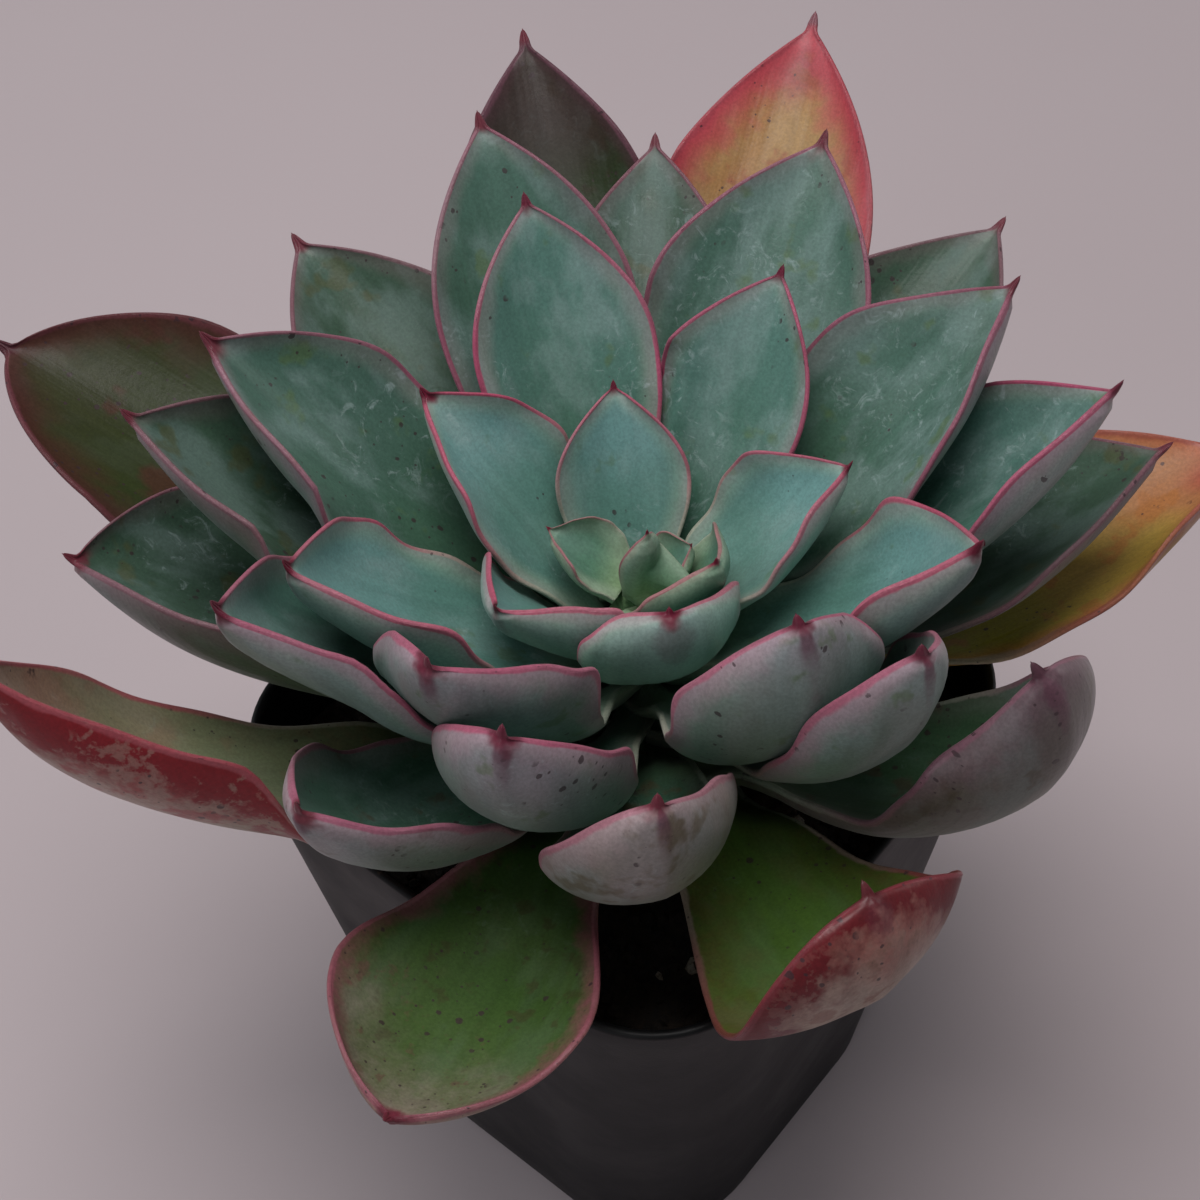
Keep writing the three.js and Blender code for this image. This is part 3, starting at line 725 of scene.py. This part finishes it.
def midrib_points(leaf, foot_radius, s):
    """Points on the leaf's middle line, found by adding up short steps along it."""
    middles = (np.arange(CURVE_STEPS) + 0.5) / CURVE_STEPS
    along, _, _, outward = leaf_frames(leaf, middles)
    start = AXIS + np.array([0, 0, leaf.foot_height]) + outward * foot_radius
    steps = np.vstack([start, along * leaf.length / CURVE_STEPS])
    points = np.cumsum(steps, axis=0)
    knots = np.linspace(0, 1, CURVE_STEPS + 1)
    return np.stack([np.interp(s, knots, points[:, k]) for k in range(3)], axis=1)


def spread_across():
    """Places from one margin to the other, closer together near the margins."""
    even = np.linspace(-1, 1, LEAF_ACROSS)
    return np.sin(0.5 * np.pi * even) * 0.5 + even * 0.5


def section_plan():
    """Places round a leaf's section: share across, its column, side of the skin, and bulge."""
    spread = spread_across()
    columns = np.arange(LEAF_ACROSS)
    turns = np.linspace(0, np.pi, MARGIN_POINTS + 2)[1:-1]
    right = np.full(MARGIN_POINTS, LEAF_ACROSS - 1)
    left = np.zeros(MARGIN_POINTS, int)
    column = np.concatenate([columns, right, columns[::-1], left])
    flat = np.zeros(LEAF_ACROSS)
    under = np.concatenate([flat + 1, 1 - turns / np.pi, flat, turns / np.pi])
    bulge = np.concatenate([flat, np.sin(turns), flat, np.sin(turns)])
    return spread[column], column, under, bulge


def margin_wave(ripple, s, across, seed):
    """Slow and quick ripples that grow towards both margins and die out at foot and tip."""
    which = np.sign(across)
    rise = np.sqrt(np.maximum(np.sin(np.pi * s), 0))
    slow = np.sin(SLOW_RIPPLES * np.pi * s + 0.9 * which) * np.abs(across) ** 3
    quick = np.sin(QUICK_RIPPLES * np.pi * s + 2.1 * which + seed) * np.abs(across) ** 5
    return ripple * slow * rise + QUICK_RIPPLE_SHARE * ripple * quick * rise


def leaf_depth(leaf, thickness, s, across, half, pinch):
    """The leaf's thickness: most along its keel, least at its margins, and less to the tip."""
    keel = thickness * (1 - 0.45 * s - 0.35 * s ** 6)
    edge = EDGE_THICKNESS * min(max(leaf.width / FULL_EDGE_WIDTH, LEAST_EDGE_SHARE), 1)
    full = edge + (keel - edge) * (1 - np.abs(across) ** 2.4)
    slim = np.clip(half / 2, 0.25, 1)
    return np.maximum(full * slim, edge) * pinch


def skin_offset(leaf, depth, s, across, under, half, seed):
    """How far the skin lies off the middle surface, with a keel below and shallow dents."""
    offset = UPPER_SHARE * depth - depth * (1 - np.cos(np.pi * under)) / 2
    ridge = np.exp(-(across / KEEL_HALF_WIDTH_SHARE) ** 2)
    ridge = KEEL_RIDGE * smooth((s - 0.5) / 0.4) * ridge
    offset = offset - ridge * np.minimum(half / 5, 1) * (under > 0.99)
    dent = np.sin(0.19 * leaf.length * s + 1.7 * seed) * np.cos(2.6 * across + 0.9 * seed)
    return offset + DENT_DEPTH * dent * np.minimum(half / 8, 1) * (1 - across ** 4)


def leaf_shape(leaf, foot_radius, thickness, seed):
    """One leaf before it settles, cupped, thick at its keel and rippled at its margins."""
    stations = 1 - (1 - np.linspace(0, 1, LEAF_STATIONS)) ** 1.6
    along, side, normal, _ = leaf_frames(leaf, stations)
    centre = midrib_points(leaf, foot_radius, stations)
    across, _, under, bulge = (part[None, :] for part in section_plan())
    s = stations[:, None]
    half = half_width_share(leaf.outline, s) * leaf.width / 2
    pinch = np.clip((1 - s) * leaf.length / POINT_LENGTH, 0, 1) ** 0.6 * 0.85 + 0.15
    half = np.maximum(half, MUCRO_END_HALF_WIDTH) * pinch
    bend = np.radians(leaf.cup) * (0.55 + 0.45 * smooth(s / 0.7))
    sine, cosine = np.sin(bend * across), np.cos(bend * across)
    depth = leaf_depth(leaf, thickness, s, across, half, pinch)
    offset = skin_offset(leaf, depth, s, across, under, half, seed)
    outer = 0.5 * depth * bulge * np.sign(across)
    height = half * (1 - cosine) / bend + margin_wave(leaf.ripple, s, across, seed)
    x = half * sine / bend - offset * sine + outer * cosine
    z = height + offset * cosine + outer * sine
    points = centre[:, None, :] + side[:, None, :] * x[..., None] + normal[:, None, :] * z[..., None]
    rim = half * (1 - np.abs(across))
    skin = np.broadcast_arrays(s * leaf.length, half * across, 7.3 * seed + 20 * under)
    facts = {
        "leaf": np.stack(np.broadcast_arrays(s, across, under), axis=-1),
        "skin": np.stack(skin, axis=-1),
        "rim": rim,
        "tip": np.broadcast_to((1 - s) * leaf.length, rim.shape),
    }
    ends = [centre[0] - along[0] * 0.2, centre[-1] + along[-1] * 0.25]
    return points, normal, facts, ends


def spread_out(field):
    """Widens and softens a field on a leaf's grid, so that a pressed leaf bends smoothly."""
    for axis, reach in ((0, 3), (1, 2)):
        widest = field.copy()
        for shift in range(-reach, reach + 1):
            rows = np.clip(np.arange(field.shape[axis]) + shift, 0, field.shape[axis] - 1)
            widest = np.maximum(widest, np.take(field, rows, axis=axis))
        soft = np.zeros_like(field)
        for shift in range(-reach, reach + 1):
            rows = np.clip(np.arange(field.shape[axis]) + shift, 0, field.shape[axis] - 1)
            soft += np.take(widest, rows, axis=axis)
        field = soft / (2 * reach + 1)
    return field


def settle(points, normal, neighbours):
    """Presses a leaf outwards wherever it would run into one that grew above it."""
    upper = slice(2 * LEAF_ACROSS + MARGIN_POINTS - 1, LEAF_ACROSS + MARGIN_POINTS - 1, -1)
    _, column, _, _ = section_plan()
    for _ in range(SETTLE_ROUNDS):
        low, high = points.min(axis=(0, 1)) - 1, points.max(axis=(0, 1)) + 1
        near = [tree for tree, a, b in neighbours if (a < high).all() and (b > low).all()]
        top = points[:, upper]
        press = np.zeros(top.shape[:2])
        for i in range(0, top.shape[0], SETTLE_STRIDE):
            direction = Vector(normal[i])
            for j in range(0, top.shape[1], SETTLE_STRIDE):
                start = Vector(top[i, j]) - direction * SETTLE_REACH
                for tree in near:
                    _, face, _, distance = tree.ray_cast(start, direction, SETTLE_REACH + SETTLE_GAP)
                    if distance is not None and face.dot(direction) < 0:
                        press[i, j] = max(press[i, j], SETTLE_REACH + SETTLE_GAP - distance)
        if press.max() == 0:
            break
        press = spread_out(press)[:, column]
        points = points - normal[:, None, :] * press[..., None]
    return points


def leaf_arrays(leaf, foot_radius, thickness, seed, neighbours, first):
    """A settled leaf's points, faces and facts, with its corners numbered from first on."""
    points, normal, facts, ends = leaf_shape(leaf, foot_radius, thickness, seed)
    before = points
    points = settle(points, normal, neighbours)
    moved = (points - before).mean(axis=1)
    ends = [ends[0] + moved[0], ends[1] + moved[-1]]
    rings, size = points.shape[:2]
    count = rings * size
    flat = np.vstack([points.reshape(-1, 3), ends])
    flat_facts = {}
    for key, value in facts.items():
        rows = value.reshape(rings, size, -1)
        extra = rows[[0, -1]].mean(axis=1)
        flat_facts[key] = np.vstack([rows.reshape(count, -1), extra])
    faces = closed_faces(rings, size)
    tree = BVHTree.FromPolygons([Vector(p) for p in flat], faces)
    neighbours.append((tree, flat.min(axis=0), flat.max(axis=0)))
    return flat, [tuple(corner + first for corner in face) for face in faces], flat_facts


def write_facts(mesh, facts):
    """Stores each point's place on its leaf, for the skin's material."""
    for key, value in facts.items():
        if value.shape[1] == 3:
            layer = mesh.attributes.new(key, "FLOAT_VECTOR", "POINT")
            layer.data.foreach_set("vector", value.astype(np.float32).ravel())
        else:
            layer = mesh.attributes.new(key, "FLOAT", "POINT")
            layer.data.foreach_set("value", value.astype(np.float32).ravel())


def make_leaf(name, rows, foot_radius, thickness, seed, neighbours):
    """One node of the plant: a leaf, or the heart's few leaves together."""
    leaves = [Leaf(*row) for row in rows]
    points, faces, facts = [], [], []
    for number, leaf in enumerate(leaves):
        first = sum(len(part) for part in points)
        made = leaf_arrays(leaf, foot_radius, thickness, seed + number, neighbours, first)
        points.append(made[0])
        faces += made[1]
        facts.append(made[2])
    material = leaf_material(name + "_skin", LOOKS[leaves[0].look], leaves[0].length)
    piece = make_object(name + "_grown", np.vstack(points), faces, material)
    write_facts(piece.data, {key: np.vstack([fact[key] for fact in facts]) for key in facts[0]})
    keep(piece, name)


def make_leaves():
    """All leaves from the heart outwards, because each one is pressed clear of those before it."""
    seed = 1
    grown = []
    make_leaf("heart_bud", BUD_LEAVES, 0.4, 1.8, seed, grown)
    for slot, foot_radius, thickness, rows in RINGS:
        for row in rows:
            seed += 1
            make_leaf("leaf_" + row[0], [row], foot_radius, thickness, seed, grown)
    make_leaf("dried_stub", [DRIED_STUB], 4.5, 1.4, seed + 1, grown)


# Pot
def rounded_square(side, corner):
    """Points round a square with round corners, anticlockwise."""
    inset = side / 2 - corner
    centres = [(inset, inset), (-inset, inset), (-inset, -inset), (inset, -inset)]
    outline = []
    for quarter, (x, y) in enumerate(centres):
        for step in range(POT_CORNER_STEPS + 1):
            angle = (quarter + step / POT_CORNER_STEPS) * math.pi / 2
            outline.append((x + corner * math.cos(angle), y + corner * math.sin(angle)))
        end = np.array(outline[-1])
        next_middle = np.array(centres[(quarter + 1) % 4])
        next_angle = (quarter + 1) * math.pi / 2
        start = next_middle + corner * np.array([math.cos(next_angle), math.sin(next_angle)])
        for step in range(1, POT_SIDE_STEPS):
            outline.append(tuple(end + (start - end) * step / POT_SIDE_STEPS))
    return np.array(outline)


def pot_section(z, inset):
    """The tapered pot's outline at height z, moved inwards by inset."""
    share = z / POT_HEIGHT
    side = POT_BASE_SIDE + (POT_RIM_SIDE - POT_BASE_SIDE) * share
    corner = POT_BASE_CORNER + (POT_RIM_CORNER - POT_BASE_CORNER) * share
    outline = rounded_square(side - 2 * inset, corner - inset)
    return np.column_stack([outline, np.full(len(outline), z)])


def pot_profile():
    """Height and inset of each ring: up the outside, over the rim and down the inside."""
    rounded_foot = [(0.0, 0.5), (0.15, 0.15), (0.5, 0.0)]
    side = [(z, 0.0) for z in np.linspace(4, POT_HEIGHT - 4, 12)]
    rows = rounded_foot + side
    rim = POT_WALL / 2
    for turn in np.linspace(0, math.pi, 9):
        rows.append((POT_HEIGHT - rim + rim * math.sin(turn), rim - rim * math.cos(turn)))
    rows += [(z, POT_WALL) for z in np.linspace(POT_HEIGHT - 4, POT_FLOOR + 2, 10)]
    rows += [(POT_FLOOR + 0.3, POT_WALL + 0.3), (POT_FLOOR, POT_WALL + 1)]
    return rows


def cut_drain_slots(pot):
    """Four slots through the floor, one towards each corner."""
    for angle in (45, 135, 225, 315):
        turn = math.radians(angle)
        outward = np.array([math.cos(turn), math.sin(turn), 0])
        sideways = np.array([-math.sin(turn), math.cos(turn), 0])
        corners = []
        for z in (-2.0, POT_FLOOR + 1.5):
            for a, b in ((-1, -1), (1, -1), (1, 1), (-1, 1)):
                reach = DRAIN_SLOT_FROM_MIDDLE + a * DRAIN_SLOT_WIDTH / 2
                corners.append(outward * reach + sideways * b * DRAIN_SLOT_LENGTH / 2 + [0, 0, z])
        faces = [(3, 2, 1, 0), (4, 5, 6, 7)]
        faces += [(k, (k + 1) % 4, (k + 1) % 4 + 4, k + 4) for k in range(4)]
        cutter = make_object("slot_cutter", corners, faces, None, False)
        cut = pot.modifiers.new("drain", "BOOLEAN")
        cut.operation = "DIFFERENCE"
        cut.solver = "EXACT"
        cut.object = cutter
        bpy.context.view_layer.update()
        depsgraph = bpy.context.evaluated_depsgraph_get()
        result = bpy.data.meshes.new_from_object(pot.evaluated_get(depsgraph))
        pot.modifiers.remove(cut)
        pot.data = result
        bpy.data.objects.remove(cutter)


def pot_material():
    r = Recipe("black_pot_plastic")
    place = r.place()
    x, y, z = r.parts(place)
    cloud = r.noise(place, 18, 4.0, 0.6)
    dust = r.noise(place, 2.2, 6.0, 0.7, 0.3)
    scuffs = r.streaks(r.vector(x, y, r.times(z, 9.0)), 260.0, 4.0)
    colour = r.mix(r.fade(cloud, 0.35, 0.7), (0.0045, 0.0045, 0.005), (0.01, 0.01, 0.011))
    high = r.fade(z, 0.045, 0.074)
    specks = r.times(r.fade(dust, 0.62, 0.72), r.plus(high, 0.15))
    colour = r.mix(r.times(specks, 0.6), colour, (0.05, 0.037, 0.026))
    colour = r.mix(r.fade(scuffs, 0.64, 0.72, 0.0, 0.4), colour, (0.03, 0.03, 0.03))
    rough = r.fade(cloud, 0.3, 0.7, 0.42, 0.58)
    normal = r.bump(r.noise(place, 0.4, 3.0), 0.04, 0.5, r.bump(cloud, 0.25, 0.5))
    return r.finish(colour, rough, normal, IOR=1.48, Specular_IOR_Level=0.25)


def make_pot():
    rings = [pot_section(z, inset) for z, inset in pot_profile()]
    size = len(rings[0])
    points = np.vstack([*rings, [[0, 0, 0]], [[0, 0, POT_FLOOR]]])
    pot = make_object("nursery_pot", points, closed_faces(len(rings), size), pot_material())
    cut_drain_slots(pot)
    pot.data.set_sharp_from_angle(angle=math.radians(50))
    keep(pot, "pot")


# Soil with crumbs and grit
def soil_height(x, y):
    """Height of the soil's top: low waves and rough lumps about the soil's level."""
    wide = math.sin(0.31 * x + 1.1) * math.cos(0.27 * y - 0.6)
    fine = math.sin(0.83 * x - 0.71 * y) * math.sin(0.64 * x + 0.92 * y + 2.2)
    rough = noise.noise((x * 0.55, y * 0.55, 3.1)) * 0.45 + noise.noise((x * 1.7, y * 1.7, 8.2)) * 0.25
    return SOIL_LEVEL + SOIL_LUMP * (0.6 * wide + 0.4 * fine) + rough


def soil_material():
    r = Recipe("dark_potting_mix")
    place = r.place()
    clod = r.noise(place, 3.0, 6.0, 0.7)
    fleck = r.noise(place, 0.8, 4.0, 0.7)
    colour = r.mix(r.fade(clod, 0.35, 0.65), (0.009, 0.006, 0.005), (0.035, 0.024, 0.017))
    colour = r.mix(r.fade(fleck, 0.66, 0.72, 0.0, 0.7), colour, (0.12, 0.08, 0.05))
    height = r.plus(clod, r.times(fleck, 0.5))
    return r.finish(colour, r.fade(clod, 0.3, 0.7, 0.8, 0.98), r.bump(height, 0.9, 1.0))


def grit_material():
    r = Recipe("pale_grit")
    place = r.place()
    tone = r.noise(place, 1.2, 4.0, 0.6)
    dirt = r.noise(place, 0.5, 4.0, 0.7)
    colour = r.mix(r.fade(tone, 0.3, 0.7), (0.2, 0.16, 0.12), (0.4, 0.36, 0.3))
    colour = r.mix(r.fade(dirt, 0.45, 0.65, 0.0, 0.8), colour, (0.05, 0.035, 0.025))
    return r.finish(colour, 0.9, r.bump(tone, 0.2, 0.8))


def soil_rings():
    """Rings of the soil's block, from its underside to the middle of its top."""
    edge = pot_section(SOIL_LEVEL - SOIL_LUMP, POT_WALL + SOIL_CLEARANCE)
    size = len(edge)
    bottom = pot_section(POT_FLOOR + SOIL_CLEARANCE, POT_WALL + SOIL_CLEARANCE)
    rings = [bottom, edge]
    for share in np.linspace(1, 0.03, SOIL_RINGS)[1:]:
        ring = edge * share
        settle = float(smooth((share - 0.88) / 0.12))
        for point in ring:
            top = soil_height(point[0], point[1])
            point[2] = top + (SOIL_LEVEL - SOIL_LUMP - top) * settle
        rings.append(ring)
    return rings, size


def scatter_tree(name, material):
    """Crumbs strewn on a surface: each is a small ball knocked out of shape."""
    tree = bpy.data.node_groups.new(name, "GeometryNodeTree")
    inputs = {"Ground": "Geometry", "Crumbs per square metre": "Float", "Smallest radius": "Float",
              "Largest radius": "Float", "Knocks": "Float", "Seed": "Int"}
    for label, kind in inputs.items():
        tree.interface.new_socket(label, in_out="INPUT", socket_type="NodeSocket" + kind)
    tree.interface.new_socket("Crumbs", in_out="OUTPUT", socket_type="NodeSocketGeometry")
    g = Graph(tree)
    given = g.add("NodeGroupInput").outputs
    seed = given["Seed"]
    strew = g.add("GeometryNodeDistributePointsOnFaces", {
        "Mesh": given["Ground"], "Density": given["Crumbs per square metre"], "Seed": seed,
    })
    ball = g.add("GeometryNodeMeshIcoSphere", {"Radius": 1.0, "Subdivisions": 1})
    girth = g.add("FunctionNodeRandomValue", {
        2: given["Smallest radius"], 3: given["Largest radius"], "Seed": seed,
    }, data_type="FLOAT")
    squash = g.add("FunctionNodeRandomValue", {
        0: (0.6, 0.6, 0.45), 1: (1.3, 1.0, 0.8), "Seed": seed,
    }, data_type="FLOAT_VECTOR")
    turn = g.add("FunctionNodeRandomValue", {
        0: (0.0, 0.0, 0.0), 1: (6.28, 6.28, 6.28), "Seed": seed,
    }, data_type="FLOAT_VECTOR")
    kind = "ShaderNodeVectorMath"
    size = g.add(kind, {0: squash.outputs[0], "Scale": girth.outputs[1]}, operation="SCALE")
    place = g.add("GeometryNodeInstanceOnPoints", {
        "Points": strew.outputs["Points"], "Instance": ball.outputs["Mesh"],
        "Rotation": turn.outputs[0], "Scale": size.outputs[0],
    })
    real = g.add("GeometryNodeRealizeInstances", {0: place.outputs[0]})
    knock = g.add("ShaderNodeTexNoise", {"Scale": 900.0, "Detail": 2.0})
    centred = g.add(kind, {0: knock.outputs["Color"], 1: (0.5, 0.5, 0.5)}, operation="SUBTRACT")
    scaled = g.add(kind, {0: centred.outputs[0], "Scale": given["Knocks"]}, operation="SCALE")
    shift = g.add("GeometryNodeSetPosition", {
        "Geometry": real.outputs[0], "Offset": scaled.outputs[0],
    })
    paint = g.add("GeometryNodeSetMaterial", {"Geometry": shift.outputs[0], "Material": material})
    g.add("NodeGroupOutput", {"Crumbs": paint.outputs[0]})
    return tree


def scatter(name, ground, material, settings):
    """A piece of crumbs strewn on the ground mesh, for which nothing stands in the part."""
    tree = scatter_tree(name + "_tree", material)
    strewn = bpy.data.objects.new(name + "_ground", ground)
    bpy.context.collection.objects.link(strewn)
    modifier = strewn.modifiers.new("crumbs", "NODES")
    modifier.node_group = tree
    for item in tree.interface.items_tree:
        if item.in_out == "INPUT" and item.name in settings:
            modifier[item.identifier] = settings[item.name]
    depsgraph = bpy.context.evaluated_depsgraph_get()
    mesh = bpy.data.meshes.new_from_object(strewn.evaluated_get(depsgraph))
    bpy.data.objects.remove(strewn)
    piece = bpy.data.objects.new(name, mesh)
    bpy.context.collection.objects.link(piece)
    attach(piece, "root")


def make_soil():
    rings, size = soil_rings()
    bottom_middle = [[0, 0, POT_FLOOR + SOIL_CLEARANCE]]
    points = np.vstack([*rings, bottom_middle, [[0, 0, soil_height(0, 0)]]])
    material = soil_material()
    soil = make_object("potting_mix", points, closed_faces(len(rings), size), material)
    keep(soil, "soil")

    top = rings[SOIL_WALL_RINGS:]
    ground = bpy.data.meshes.new("soil_top")
    ground.from_pydata((np.vstack(top) * MM).tolist(), [], band_faces(len(top), size))
    crumbs = {"Crumbs per square metre": 420000.0, "Smallest radius": 0.0004,
              "Largest radius": 0.0013, "Knocks": 0.0008, "Seed": 11}
    scatter("soil_crumbs", ground, material, crumbs)
    grit = {"Crumbs per square metre": 9000.0, "Smallest radius": 0.0006,
            "Largest radius": 0.0013, "Knocks": 0.0007, "Seed": 5}
    scatter("grit_bits", ground, grit_material(), grit)


# Stem
def stem_material():
    r = Recipe("woody_stem")
    place = r.place()
    x, y, z = r.parts(place)
    bark = r.streaks(r.vector(x, y, r.times(z, 2.6)), 420.0, 6.0)
    stain = r.noise(place, 4.0, 4.0)
    colour = r.mix(r.fade(bark, 0.35, 0.65), (0.1, 0.075, 0.045), (0.24, 0.19, 0.11))
    colour = r.mix(r.fade(stain, 0.5, 0.7, 0.0, 0.7), colour, (0.06, 0.04, 0.028))
    growing = r.fade(z, GREEN_STEM_FROM * MM, GREEN_STEM_TO * MM)
    colour = r.mix(growing, colour, (0.13, 0.22, 0.1))
    return r.finish(colour, 0.8, r.bump(bark, 0.5, 1.0))


def make_stem():
    """A stem with scars of fallen leaves and knots, narrowing into the heart."""
    radii, heights = np.array(STEM_PROFILE).T
    rings = []
    for z in np.linspace(heights[0], heights[-1], STEM_LEVELS):
        radius = float(np.interp(z, heights, radii))
        ring = []
        for step in range(STEM_SIDES):
            turn = 2 * math.pi * step / STEM_SIDES
            scar = 0.22 * math.sin(5 * turn + 2.4 * z) * math.sin(1.9 * z)
            knot = 0.3 * noise.noise((3 * math.cos(turn), 3 * math.sin(turn), z * 0.5))
            reach = max(radius + (scar + knot) * min(radius / 3, 1), 0.1)
            ring.append((AXIS[0] + reach * math.cos(turn), AXIS[1] + reach * math.sin(turn), z))
        rings.append(ring)
    ends = [[(AXIS[0], AXIS[1], heights[0])], [(AXIS[0], AXIS[1], heights[-1] + 0.1)]]
    points = np.vstack([*rings, *ends])
    stem = make_object("woody_stem", points, closed_faces(len(rings), STEM_SIDES), stem_material())
    keep(stem, "stem")


# Plain studio
def make_floor():
    r = Recipe("pale_floor")
    place = r.place()
    tone = r.noise(place, 160, 3.0)
    colour = r.mix(tone, (0.46, 0.385, 0.4), (0.5, 0.425, 0.44))
    r.finish(colour, 0.7, r.bump(r.noise(place, 3, 3.0), 0.1, 0.3))
    reach = 1500
    corners = [(-reach, -reach, 0), (reach, -reach, 0), (reach, reach, 0), (-reach, reach, 0)]
    floor = make_object("floor", corners, [(0, 1, 2, 3)], r.material, False)


def add_light(name, place, size, power, colour):
    """A round lamp aimed at the plant. Place and size are in metres, and power is in watts."""
    data = bpy.data.lights.new(name, "AREA")
    data.shape = "DISK"
    data.size = size
    data.energy = power
    data.color = colour
    light = bpy.data.objects.new(name, data)
    bpy.context.collection.objects.link(light)
    light.location = place
    light.rotation_mode = "QUATERNION"
    light.rotation_quaternion = (Vector((0, 0, 0.08)) - Vector(place)).to_track_quat("-Z", "Y")


def set_light():
    world = bpy.data.worlds.new("studio")
    bpy.context.scene.world = world
    world.use_nodes = True
    background = world.node_tree.nodes["Background"]
    background.inputs["Color"].default_value = (0.86, 0.93, 1.0, 1.0)
    background.inputs["Strength"].default_value = 0.15
    add_light("high_soft", (-0.1, 0.05, 0.9), 0.6, 5.2, (1.0, 0.98, 0.97))
    add_light("left_soft", (-0.7, -0.25, 0.7), 0.5, 1.6, (0.93, 0.97, 1.0))
    add_light("front_soft", (0.1, -0.85, 0.5), 0.5, 0.9, (0.97, 0.98, 1.0))
    add_light("back_soft", (0.35, 0.85, 0.4), 0.5, 0.7, (1.0, 0.97, 0.96))
    bpy.context.scene.view_settings.view_transform = "Standard"


make_floor()
set_light()
make_pot()
make_soil()
make_stem()
make_leaves()
